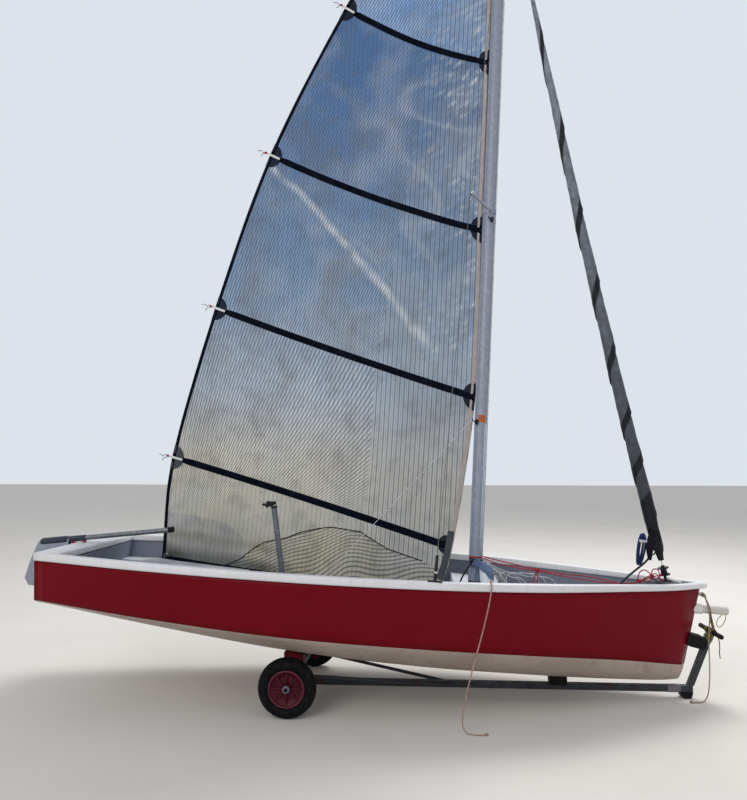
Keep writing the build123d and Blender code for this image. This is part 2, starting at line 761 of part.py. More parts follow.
# Rudder stock: two cheeks, the block between them, and the lugs with their pin
with BuildPart() as stock:
    cheek = [(-84, 602), (-300, 566), (-345, 430), (-372, 310), (-340, 262), (-230, 258), (-84, 330)]
    for start in (CHEEK_V[1], -CHEEK_V[0]):
        with BuildSketch(profile(start)):
            Polygon(*cheek, align=None)
        extrude(amount=CHEEK_V[1] - CHEEK_V[0])
    with BuildSketch(profile(CHEEK_V[0] + 0.5)):
        Polygon((-84, 340), (-84, 560), (-116, 553), (-116, 340), align=None)
    extrude(amount=2 * CHEEK_V[0] + 1)
    for w in GUDGEONS_W:
        with BuildSketch(level(w + 16)):
            with Locations((PINTLE_U, 0)):
                Circle(11)
            with Locations((PINTLE_U - 16, 0)):
                Rectangle(32, 22)
        extrude(amount=34)
        with BuildSketch(level(w - 8)):
            with Locations((PINTLE_U, 0)):
                Circle(PINTLE_R)
        extrude(amount=40)
save(stock, "rudder_stock")

# Tiller between the cheeks, with its joint and the extension folded back along it
tiller_plane, tiller_length = spar_plane(TILLER_AFT, TILLER_FORE)
with BuildPart() as tiller:
    tube(tiller_plane, tiller_length, TILLER_R, 2.5)
save(tiller, "tiller")

with BuildPart() as extension:
    lift = TILLER_R + EXTENSION_R + 3
    with BuildSketch(tiller_plane.offset(EXTENSION_START)):
        with Locations((lift, 0)):
            Circle(EXTENSION_R)
    extrude(amount=tiller_length - EXTENSION_START)
save(extension, "tiller_extension")

with BuildPart() as tiller_joint:
    with BuildSketch(tiller_plane.offset(tiller_length + 0.2)):
        with Locations((lift / 2, 0)):
            RectangleRounded(lift + 34, 2 * TILLER_R + 4, 14)
    extrude(amount=26)
save(tiller_joint, "tiller_joint")

# Gennaker pole, its bush in the stem and the guide on the foredeck
with BuildPart() as pole:
    with BuildSketch(station(POLE_U[0])):
        with Locations((0, POLE_W)):
            Circle(POLE_R)
            Circle(POLE_R - POLE_WALL, mode=Mode.SUBTRACT)
    extrude(amount=POLE_U[1] - POLE_U[0] - 8)
    with BuildSketch(station(POLE_U[1] - 8)):
        with Locations((0, POLE_W)):
            Circle(POLE_R)
    extrude(amount=8)
save(pole, "gennaker_pole")

with BuildPart() as bush:
    with BuildSketch(station(BUSH_U[0])):
        with Locations((0, POLE_W)):
            Circle(BUSH_R)
            Circle(POLE_R + POLE_PLAY, mode=Mode.SUBTRACT)
    extrude(amount=BUSH_U[1] - BUSH_U[0])
save(bush, "pole_bush")

with BuildPart() as guide:
    with BuildSketch(station(GUIDE_U[0])):
        with BuildLine():
            Polyline((-60, FOREDECK_W + 0.3), (60, FOREDECK_W + 0.3), (42, POLE_W))
            ThreePointArc((42, POLE_W), (0, POLE_W + 42), (-42, POLE_W))
            Line((-42, POLE_W), (-60, FOREDECK_W + 0.3))
        make_face()
        with Locations((0, POLE_W)):
            Circle(POLE_R + POLE_PLAY, mode=Mode.SUBTRACT)
    extrude(amount=GUIDE_U[1] - GUIDE_U[0])
save(guide, "pole_guide")

# Towing eye on the stem
with BuildPart() as bow_eye:
    with BuildSketch(profile(4)):
        with Locations((EYE_U, EYE_W)):
            Circle(15)
            with Locations((-16, 0)):
                Rectangle(26, 22)
            Circle(7, mode=Mode.SUBTRACT)
    extrude(amount=8)
save(bow_eye, "bow_eye")

# Trolley wheels
hub_plane = Plane(origin=(AXLE_X, TRACK_HALF, TYRE_R), x_dir=(1, 0, 0), z_dir=(0, -1, 0))
wheel_section = Plane(origin=(AXLE_X, TRACK_HALF, TYRE_R), x_dir=(0, 1, 0), z_dir=(1, 0, 0))
wheel_axis = Axis((AXLE_X, TRACK_HALF, TYRE_R), (0, 1, 0))
with BuildPart() as tyre:
    with BuildSketch(wheel_section):
        with BuildLine():
            Line((-32, RIM_R + 1), (32, RIM_R + 1))
            ThreePointArc((32, RIM_R + 1), (TYRE_HALF, (RIM_R + TYRE_R) / 2), (30, TYRE_R - 8))
            ThreePointArc((30, TYRE_R - 8), (0, TYRE_R), (-30, TYRE_R - 8))
            ThreePointArc((-30, TYRE_R - 8), (-TYRE_HALF, (RIM_R + TYRE_R) / 2), (-32, RIM_R + 1))
        make_face()
    revolve(axis=wheel_axis)
save_pair(tyre, "tyre")

with BuildPart() as wheel:
    with BuildSketch(wheel_section):
        Polygon(
            (-38, RIM_R), (38, RIM_R), (38, RIM_R - 10), (30, RIM_R - 14), (12, 70), (12, HUB_R), (42, HUB_R),
            (42, STUB_R + STUB_PLAY), (-42, STUB_R + STUB_PLAY), (-42, HUB_R), (4, HUB_R), (4, 70),
            (20, RIM_R - 14), (-38, RIM_R - 10),
            align=None,
        )
    revolve(axis=wheel_axis)
save_pair(wheel, "wheel")

# Trolley axle with its stub pins and washers
with BuildPart() as axle:
    with Locations((AXLE_X, 0, TYRE_R)):
        Box(BEAM, 2 * BEAM_HALF_Y, BEAM)
    with Locations(Location((AXLE_X, 0, TYRE_R), (90, 0, 0))):
        Cylinder(STUB_R, 2 * (TRACK_HALF + 52))
    for side in (1, -1):
        with Locations(Location((AXLE_X, side * (TRACK_HALF + 48), TYRE_R), (90, 0, 0))):
            Cylinder(STUB_R + 5, 5)
save(axle, "trolley_axle")

with BuildPart() as drawbar:
    with Locations(((DRAWBAR_X[0] + DRAWBAR_X[1]) / 2, 0, DRAWBAR_Z)):
        Box(DRAWBAR_X[1] - DRAWBAR_X[0], BEAM, BEAM)
save(drawbar, "trolley_drawbar")

# Drop bracket between axle and drawbar
bracket_z = (DRAWBAR_Z + BEAM / 2 + 0.2, TYRE_R - BEAM / 2 - 0.2)
with BuildPart() as bracket:
    with Locations((AXLE_X, 0, sum(bracket_z) / 2)):
        Box(70, 60, bracket_z[1] - bracket_z[0])
save(bracket, "axle_bracket")

# Braces from the drawbar out to the axle
with BuildPart() as braces:
    wire(Vector(560, BEAM / 2 + 14, DRAWBAR_Z), Vector(AXLE_X + BEAM / 2 + 8, 300, TYRE_R), 11)
    mirror(about=Plane.XZ)
save(braces, "trolley_braces")

# Padded rests on the axle, cut to the hull's bottom
with BuildPart() as pad:
    with BuildSketch(Plane.XY.offset(PAD_Z)):
        with Locations((AXLE_X, (PAD_V[0] + PAD_V[1]) / 2)):
            RectangleRounded(PAD_U[1] - PAD_U[0], PAD_V[1] - PAD_V[0], 20)
    extrude(amount=140)
    mirror(about=Plane.XZ)
    add(hull_form.part, mode=Mode.SUBTRACT)
save(pad, "cradle_pads")

with BuildPart() as pad_post:
    post_z = (TYRE_R + BEAM / 2 + 0.2, PAD_Z - 0.2)
    with Locations((AXLE_X, (PAD_V[0] + PAD_V[1]) / 2, sum(post_z) / 2)):
        Box(50, 60, post_z[1] - post_z[0])
    mirror(about=Plane.XZ)
save(pad_post, "cradle_posts")

# Keel rest on the drawbar
rest_x = hull_point((KEEL_REST_U[0] + KEEL_REST_U[1]) / 2, 0, 0).X
with BuildPart() as keel_rest:
    with BuildSketch(Plane.XY.offset(DRAWBAR_Z + BEAM / 2 + 0.2)):
        with Locations((rest_x, 0)):
            RectangleRounded(110, 120, 14)
    extrude(amount=110)
    add(hull_form.part, mode=Mode.SUBTRACT)
save(keel_rest, "keel_rest")

# Bow post, snubber and tow handle
lean = atan2(POST_HEAD[0] - POST_BASE[0], POST_HEAD[1] - POST_BASE[1])
post_dir = Vector(sin(lean), 0, cos(lean))
post_base = Vector(POST_BASE[0], 0, POST_BASE[1])
post_size = hypot(POST_HEAD[0] - POST_BASE[0], POST_HEAD[1] - POST_BASE[1])
bow_post_plane = Plane(origin=post_base, x_dir=(0, 1, 0), z_dir=post_dir)
with BuildPart() as bow_post:
    with BuildSketch(bow_post_plane):
        RectangleRounded(BEAM, BEAM, 5)
    extrude(amount=post_size)
    split(bisect_by=Plane.XY.offset(DRAWBAR_Z + BEAM / 2 + 0.2), keep=Keep.TOP)
save(bow_post, "bow_post")

with BuildPart() as post_room:
    with BuildSketch(bow_post_plane):
        Rectangle(BEAM + 0.6, BEAM + 0.6)
    extrude(amount=post_size)

with BuildPart() as snubber:
    snub_centre = hull_point(SNUBBER_AT[0], -SNUBBER_SIZE[2] / 2, SNUBBER_AT[1])
    snub_dir = (-U_DIR * cos(radians(SNUBBER_TILT)) + W_DIR * sin(radians(SNUBBER_TILT))).normalized()
    with BuildSketch(Plane(origin=snub_centre, x_dir=snub_dir, z_dir=V_DIR)):
        RectangleRounded(SNUBBER_SIZE[0], SNUBBER_SIZE[1], 24)
    extrude(amount=SNUBBER_SIZE[2])
    add(hull_form.part, mode=Mode.SUBTRACT)
    add(post_room.part, mode=Mode.SUBTRACT)
save(snubber, "bow_snubber")

handle_centre = Vector(POST_HEAD[0], 0, POST_HEAD[1]) + post_dir * (GRIP_R + 0.3)
with BuildPart() as handle:
    with Locations(Location(tuple(handle_centre), (90, 0, 0))):
        Cylinder(GRIP_R, 2 * HANDLE_HALF)
save(handle, "tow_handle")

with BuildPart() as foot:
    with BuildSketch(Plane.XZ.offset(-35)):
        Polygon(
            (2062, DRAWBAR_Z - BEAM / 2 - 0.2), (2142, DRAWBAR_Z - BEAM / 2 - 0.2), (2132, 8), (2122, 0),
            (2082, 0), (2072, 8),
            align=None,
        )
    extrude(amount=70)
save(foot, "drawbar_foot")

# Bag beside the mast, a soft round form
with BuildPart() as bag:
    for height, bag_u, bag_v, radius in BAG_RINGS:
        with BuildSketch(level(height)):
            with Locations((bag_u, bag_v)):
                Circle(radius)
    loft(ruled=True)
save(bag, "sail_bag")


def corner_radii(points):
    """Radius of the arc at each corner of a rope, as large as its two runs allow."""
    radii = []
    for before, corner, after in zip(points, points[1:], points[2:]):
        run_in, run_out = Vector(*corner) - Vector(*before), Vector(*after) - Vector(*corner)
        turn = radians(run_in.get_angle(run_out))
        radii.append(0.45 * min(run_in.length, run_out.length) / tan(turn / 2))
    return radii


# Rope that hangs over the starboard gunwale, and the line that hangs from the towing eye
for name, points in (("side_rope", SIDE_ROPE), ("bow_line", BOW_LINE)):
    radii = corner_radii(points)
    with BuildPart() as rope:
        with BuildLine() as route:
            FilletPolyline(*points, radius=radii)
        with BuildSketch(Plane(origin=route.line @ 0, z_dir=route.line % 0)):
            Circle(ROPE_R)
        sweep()
    length = route.wire().length
    print(name, "length", round(length), "radii", [round(r) for r in radii])
    print("volume over section times length", rope.part.volume / (pi * ROPE_R**2 * length))
    save(rope, name)
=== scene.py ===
"""Sailing dinghy on its launching trolley, dressed in its real materials.

The boat stands in a plain studio. Lengths are metres in the shared frame of the solids.
Places in the boat are written in millimetres from the transom: u forward, v to port, w up.
"""

from __future__ import annotations

import logging
import math
from bisect import bisect_right
from collections.abc import Callable, Sequence
from dataclasses import dataclass
from enum import Enum

import bpy
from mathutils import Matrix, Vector, noise

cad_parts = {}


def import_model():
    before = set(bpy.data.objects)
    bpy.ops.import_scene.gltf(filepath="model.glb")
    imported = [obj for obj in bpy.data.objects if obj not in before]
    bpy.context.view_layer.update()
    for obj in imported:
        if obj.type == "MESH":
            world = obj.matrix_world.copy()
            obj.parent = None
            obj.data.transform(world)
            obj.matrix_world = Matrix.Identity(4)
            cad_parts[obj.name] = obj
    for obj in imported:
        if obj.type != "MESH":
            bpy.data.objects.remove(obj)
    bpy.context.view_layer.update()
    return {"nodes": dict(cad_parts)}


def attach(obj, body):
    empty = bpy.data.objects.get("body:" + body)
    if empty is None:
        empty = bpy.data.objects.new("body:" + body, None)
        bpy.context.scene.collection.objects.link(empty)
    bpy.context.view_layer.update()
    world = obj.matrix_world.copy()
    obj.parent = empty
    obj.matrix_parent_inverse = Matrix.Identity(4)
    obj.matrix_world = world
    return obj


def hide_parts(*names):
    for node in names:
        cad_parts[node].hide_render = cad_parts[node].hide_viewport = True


log = logging.getLogger("dinghy")

MM = 0.001
MAST_RAKE = 0.0207
BOW_DOWN = math.radians(4.2)
BOAT_AT = Vector((-2.0435, 0.0, 0.390))
FORWARD = Vector((math.cos(BOW_DOWN), 0.0, -math.sin(BOW_DOWN)))
PORT = Vector((0.0, 1.0, 0.0))
UP = Vector((math.sin(BOW_DOWN), 0.0, math.cos(BOW_DOWN)))
WORLD_X, WORLD_Z = Vector((1.0, 0.0, 0.0)), Vector((0.0, 0.0, 1.0))
BOAT_AXES = (FORWARD, PORT, UP)
SIDES = {"port": 1, "starboard": -1}

MIX_A, MIX_B = 6, 7

Points = list[Vector]
Faces = list[tuple[int, ...]]
Shape = tuple[Points, Faces]
Place = tuple[float, float, float]
Rows = Sequence[tuple[float, ...]]
Piece = bpy.types.Object
Node = bpy.types.Node
Source = Node | bpy.types.NodeSocket

EVEN: Place = (1.0, 1.0, 1.0)


def boat(u: float, v: float, w: float) -> Vector:
    """Point of the shared frame, in metres, from a place in the boat."""
    return BOAT_AT + (FORWARD * u + PORT * v + UP * w) * MM


def ground(x: float, y: float, z: float) -> Vector:
    """Point of the shared frame from millimetres."""
    return Vector((x, y, z)) * MM


def linear(code: str) -> tuple[float, float, float, float]:
    """Turns an sRGB hex colour into linear light.

    Args:
        code: Colour such as "#8e1022".

    Returns:
        Red, green, blue and full alpha.
    """
    parts = [int(code[k : k + 2], 16) / 255 for k in (1, 3, 5)]
    lit = [c / 12.92 if c <= 0.04045 else ((c + 0.055) / 1.055) ** 2.4 for c in parts]
    return lit[0], lit[1], lit[2], 1.0


def per_metre(millimetres: float) -> float:
    """Texture scale at which one feature is so many millimetres wide."""
    return 1000.0 / millimetres


def output_of(source: Source) -> bpy.types.NodeSocket:
    """The socket itself, or the first output that a node has in use.

    Args:
        source: A node or one of its sockets.

    Returns:
        The socket to link from.
    """
    if isinstance(source, bpy.types.NodeSocket):
        return source
    return next(socket for socket in source.outputs if socket.enabled)


def add_node(
    tree: bpy.types.NodeTree, kind: str, inputs: dict | None = None, **settings: object
) -> Node:
    """Adds one shader node with its settings and links.

    Args:
        tree: Node tree that gets the node.
        kind: Blender's type name of the node, after the words that all of them share.
        inputs: Value, or node or socket to link, for each named or numbered input.
        **settings: Attributes of the node itself.

    Returns:
        The new node.
    """
    node = tree.nodes.new(f"ShaderNode{kind}")
    for key, value in settings.items():
        setattr(node, key, value)
    for key, value in (inputs or {}).items():
        if isinstance(value, Source):
            tree.links.new(output_of(value), node.inputs[key])
        else:
            node.inputs[key].default_value = value
    return node


@dataclass
class Bench:
    """A material under work: its nodes, its main shader, its output, the surface's own place."""

    tree: bpy.types.NodeTree
    shader: Node
    place: bpy.types.NodeSocket
    output: bpy.types.Node

    def feed(self, key: str, source: Source) -> None:
        """Links a source to an input of the main shader."""
        self.tree.links.new(output_of(source), self.shader.inputs[key])

    def cloud(self, size: float, detail: float, stretch: Place) -> Node:
        """Noise with marks of a size in millimetres, stretched by a factor along each axis.

        Args:
            size: Size of a mark in millimetres.
            detail: Levels of finer marks.
            stretch: Factor along each axis.

        Returns:
            The noise node.
        """
        place = add_node(self.tree, "Mapping", {"Vector": self.place, "Scale": stretch})
        marks = {"Vector": place, "Scale": per_metre(size), "Detail": detail}
        return add_node(self.tree, "TexNoise", marks)

    def over(
        self, share: Source, under: Source | str, colour: str, span: Place = (0.0, 1.0, 1.0)
    ) -> Node:
        """Lays a colour over another where a measure is high.

        Args:
            share: The measure.
            under: Colour below.
            colour: Colour laid over it.
            span: Measure at which it starts, measure at which it is full, and its strength.

        Returns:
            The mixed colour.
        """
        low, high, most = span
        limits = {"Value": share, "From Min": low, "From Max": high, "To Max": most}
        strength = add_node(self.tree, "MapRange", limits)
        below = linear(under) if isinstance(under, str) else under
        colours = {0: strength, MIX_A: below, MIX_B: linear(colour)}
        return add_node(self.tree, "Mix", colours, data_type="RGBA")

    def mottle(
        self,
        base: Source | str,
        other: str,
        size: float,
        span: Place,
        detail: float = 7.0,
        stretch: Place = EVEN,
    ) -> Node:
        """Colour with random patches of another, linked to the shader as its colour.

        Args:
            base: First colour.
            other: Colour of the patches.
            size: Millimetres across one patch.
            span: Tone of the noise at which a patch starts, that at which it is full, its strength.
            detail: Octaves of the noise.
            stretch: Factor along each axis.

        Returns:
            The mixed colour.
        """
        mixed = self.over(self.cloud(size, detail, stretch), base, other, span)
        self.feed("Base Color", mixed)
        return mixed

    def dulled(self, size: float, low: float, high: float, stretch: Place = EVEN) -> None:
        """Roughness that varies between two values over marks of a size in millimetres.

        Args:
            size: Size of a mark in millimetres.
            low: Least roughness.
            high: Most roughness.
            stretch: Factor along each axis.
        """
        limits = {"From Min": 0.35, "From Max": 0.7, "To Min": low, "To Max": high}
        marks = {"Value": self.cloud(size, 3.0, stretch)}
        self.feed("Roughness", add_node(self.tree, "MapRange", marks | limits))

    def grained(self, size: float, strength: float, depth: float, stretch: Place = EVEN) -> None:
        """Relief of random grain: its size, its strength and its depth in millimetres."""
        self.raised(self.cloud(size, 4.0, stretch), strength, depth)

    def raised(self, height: Source, strength: float, depth: float) -> None:
        """Relief from a height, its strength and its depth in millimetres, over what is there.

        Args:
            height: Height of the relief.
            strength: Its strength.
            depth: Its depth in millimetres.
        """
        relief = {"Height": height, "Strength": strength, "Distance": abs(depth) * MM}
        bump = add_node(self.tree, "Bump", relief, invert=depth < 0)
        normal = self.shader.inputs["Normal"]
        if normal.is_linked:
            self.tree.links.new(normal.links[0].from_socket, bump.inputs["Normal"])
        self.feed("Normal", bump)


@dataclass(frozen=True)
class Finish:
    """A real material: its name, its colour and the way it takes light."""

    name: str
    colour: str
    roughness: float = 0.5
    metallic: float = 0.0
    shine: float = 0.5

    def material(self) -> bpy.types.Material:
        """Builds the finish as a Blender material once, and returns it.

        Returns:
            The material.
        """
        known = bpy.data.materials.get(self.name)
        if known is not None:
            return known
        made = bpy.data.materials.new(self.name)
        made.use_nodes = True
        tree = made.node_tree
        tree.nodes.clear()
        light = {
            "Base Color": linear(self.colour),
            "Roughness": self.roughness,
            "Metallic": self.metallic,
            "Specular IOR Level": self.shine,
        }
        shader = add_node(tree, "BsdfPrincipled", light)
        output = add_node(tree, "OutputMaterial", {"Surface": shader})
        place = add_node(tree, "TexCoord").outputs["Object"]
        self.dress(Bench(tree, shader, place, output))
        return made

    def dress(self, on: Bench) -> None:
        """Adds the finish's own pattern; each kind of finish has its own."""


@dataclass(frozen=True)
class Gelcoat(Finish):
    """Polished polyester gelcoat out of a waxed mould.

    The eye sees a deep, even colour under a clear gloss, a trace of orange peel, salt
    streaks that run down from the gunwale, and fine scratches along the boat.
    """

    worn: str = "#ffffff"
    streaks: float = 0.25

    def dress(self, on: Bench) -> None:
        """Salt streaks, cloudy wear, orange peel and scratches.

        Args:
            on: The material's bench.
        """
        cloudy = on.mottle(self.colour, self.worn, 420, (0.45, 0.75, self.streaks), 4.0)
        on.mottle(cloudy, self.worn, 38, (0.52, 0.75, self.streaks), 5.0, (1.0, 1.0, 0.08))
        on.dulled(7, self.roughness, self.roughness + 0.2, Run.ALONG_SKIN.value)
        on.grained(14, 0.12, 0.6)


@dataclass(frozen=True)
class DeckMoulding(Finish):
    """Deck moulding with a non-slip pattern of small raised diamonds.

    It is matt where feet go and shows sand and dirt that lie between the diamonds.
    """

    dirt: str = "#8f8878"
    diamond: float = 18.0

    def dress(self, on: Bench) -> None:
        """Raised diamonds, drawn about twice their real size so that they show, and dirt.

        Args:
            on: The material's bench.
        """
        on.mottle(self.colour, self.dirt, 160, (0.45, 0.72, 0.5))
        corner_up = {"Vector": on.place, "Rotation": (0.0, 0.0, math.pi / 4), "Scale": (1.0, 1.0, 0.3)}
        place = add_node(on.tree, "Mapping", corner_up)
        cells = {"Vector": place, "Scale": per_metre(self.diamond), "Randomness": 0.0}
        on.raised(add_node(on.tree, "TexVoronoi", cells, distance="MANHATTAN"), 0.4, -1.2)


class Run(Enum):
    """Way in which a surface was drawn or wiped, as the stretch of its grain."""

    ALONG_BOAT = (0.02, 1.0, 1.0)
    ALONG_SKIN = (0.03, 1.0, 1.0)
    UPRIGHT = (1.0, 1.0, 0.02)


@dataclass(frozen=True)
class DrawnMetal(Finish):
    """Anodised aluminium or stainless steel, drawn into tube or bar.

    The eye sees a satin metal with faint lines along the length and small pale salt spots.
    """

    run: Run = Run.UPRIGHT
    spots: str = "#d6d6d2"
    spotted: float = 0.25

    def dress(self, on: Bench) -> None:
        """Lines along the tube, cloudy tone and salt spots.

        Args:
            on: The material's bench.
        """
        on.mottle(self.colour, self.spots, 30, (0.5, 0.75, self.spotted), 8.0)
        on.dulled(6, self.roughness - 0.08, self.roughness + 0.12, self.run.value)
        on.grained(6, 0.15, 0.4, self.run.value)


@dataclass(frozen=True)
class Galvanised(Finish):
    """Hot-dip galvanised steel, dulled by years on sand and drawn dark as a painted shade.

    The eye sees the zinc's spangle as faint flakes, and rust that starts in scraped places.
    """

    rust: str = "#5b3a25"
    flake: float = 14.0

    def dress(self, on: Bench) -> None:
        """Zinc spangle, scraped and rusty places, dull pits.

        Args:
            on: The material's bench.
        """
        flakes = add_node(on.tree, "TexVoronoi", {"Vector": on.place, "Scale": per_metre(self.flake)})
        tone = add_node(on.tree, "SeparateColor", {0: flakes.outputs["Color"]})
        shade = add_node(on.tree, "MapRange", {"Value": tone, "To Min": 0.82, "To Max": 1.15})
        colours = {0: 1.0, MIX_A: linear(self.colour), MIX_B: shade}
        flaked = add_node(on.tree, "Mix", colours, data_type="RGBA", blend_type="MULTIPLY")
        on.mottle(flaked, self.rust, 55, (0.58, 0.72, 0.8), 9.0)
        on.dulled(55, self.roughness, 0.85)
        on.grained(40, 0.3, 1.5)


@dataclass(frozen=True)
class Moulded(Finish):
    """Injection-moulded nylon, acetal or polypropylene with a fine spark-eroded grain.

    The eye sees an even colour, slightly chalked by the sun, and a soft broken highlight.
    """

    chalk: str = "#7a7a7a"
    chalked: float = 0.15

    def dress(self, on: Bench) -> None:
        """Sun-chalked patches and the mould's grain, drawn coarse enough to show.

        Args:
            on: The material's bench.
        """
        on.mottle(self.colour, self.chalk, 38, (0.45, 0.8, self.chalked), 8.0)
        on.dulled(38, self.roughness - 0.05, self.roughness + 0.15)
        on.grained(2.5, 0.2, 0.3)


@dataclass(frozen=True)
class TyreRubber(Finish):
    """Black tyre rubber with sand dust, its tread cut in blocks round the wheel.

    The eye sees a dull black that turns pale and dusty in the grooves.
    """

    hub: Place = (0.0, 0.0, 0.0)
    dust: str = "#4e463b"
    blocks: int = 44
    slant: float = 5.0
    tread: tuple[float, float] = (0.158, 0.164)
    gap: tuple[float, float] = (0.06, 0.14)
    ring_step: float = 0.008
    ring_height: float = 40.0

    def dress(self, on: Bench) -> None:
        """Tread blocks and grooves near the outer radius, sidewall rings and dust.

        Args:
            on: The material's bench.
        """
        tree = on.tree
        on.mottle(self.colour, self.dust, 28, (0.5, 0.8, 0.25), 9.0)
        centred = add_node(tree, "VectorMath", {0: on.place, 1: self.hub}, operation="SUBTRACT")
        axes = add_node(tree, "SeparateXYZ", {0: centred}).outputs
        turn = add_node(tree, "Math", {0: axes["Z"], 1: axes["X"]}, operation="ARCTAN2")
        slanted = {0: axes["Y"], 1: self.slant, 2: turn}
        skewed = add_node(tree, "Math", slanted, operation="MULTIPLY_ADD")
        per_turn = self.blocks / math.tau
        counted = add_node(tree, "Math", {0: skewed, 1: per_turn}, operation="MULTIPLY")
        block = add_node(tree, "Math", {0: counted, 1: 0.5}, operation="PINGPONG")
        flat = add_node(tree, "CombineXYZ", {"X": axes["X"], "Y": axes["Z"]})
        reach = add_node(tree, "VectorMath", {0: flat}, operation="LENGTH")
        tread, gap = (
            add_node(tree, "MapRange", {"Value": measure, "From Min": low, "From Max": high})
            for measure, (low, high) in ((reach, self.tread), (block, self.gap))
        )
        groove = add_node(tree, "Math", {0: gap, 1: tread}, operation="MULTIPLY")
        ring = add_node(tree, "Math", {0: reach, 1: self.ring_step}, operation="PINGPONG")
        both = {0: ring, 1: self.ring_height, 2: groove}
        on.raised(add_node(tree, "Math", both, operation="MULTIPLY_ADD"), 0.8, 4.0)


@dataclass(frozen=True)
class Braid(Finish):
    """Braided polyester rope: fine crossing strands, a tracer colour and a soft, fuzzy skin."""

    tracer: str = "#ffffff"

    def dress(self, on: Bench) -> None:
        """Crossing strands, drawn about twice as coarse as real ones so that they show.

        Args:
            on: The material's bench.
        """
        strands = {"Vector": on.place, "Scale": per_metre(5.0), "Randomness": 0.35}
        cell = add_node(on.tree, "TexVoronoi", strands, distance="MANHATTAN")
        tone = add_node(on.tree, "SeparateColor", {0: cell.outputs["Color"]})
        on.feed("Base Color", on.over(tone, self.colour, self.tracer, (0.62, 0.68, 1.0)))
        on.shader.inputs["Sheen Weight"].default_value = 0.15
        on.raised(cell, 0.6, -1.2)


@dataclass(frozen=True)
class Cloth(Finish):
    """Coated woven polyester, as in sail tapes, pockets, bags and pad covers.

    The eye sees the weave as a fine grid, soft creases and faded places.
    """

    faded: str = "#808080"
    fade: float = 0.3

    def dress(self, on: Bench) -> None:
        """Weave of crossing threads, drawn at several times its real spacing, and fading.

        Args:
            on: The material's bench.
        """
        on.mottle(self.colour, self.faded, 70, (0.45, 0.75, self.fade))
        threads = {"Vector": on.place, "Scale": per_metre(12.8)}
        weave = [add_node(on.tree, "TexWave", threads, bands_direction=way) for way in ("X", "Z")]
        crossed = {k: wave.outputs["Fac"] for k, wave in enumerate(weave)}
        grid = add_node(on.tree, "Math", crossed, operation="MULTIPLY")
        on.grained(60, 0.4, 3.0)
        on.raised(grid, 0.35, 0.6)


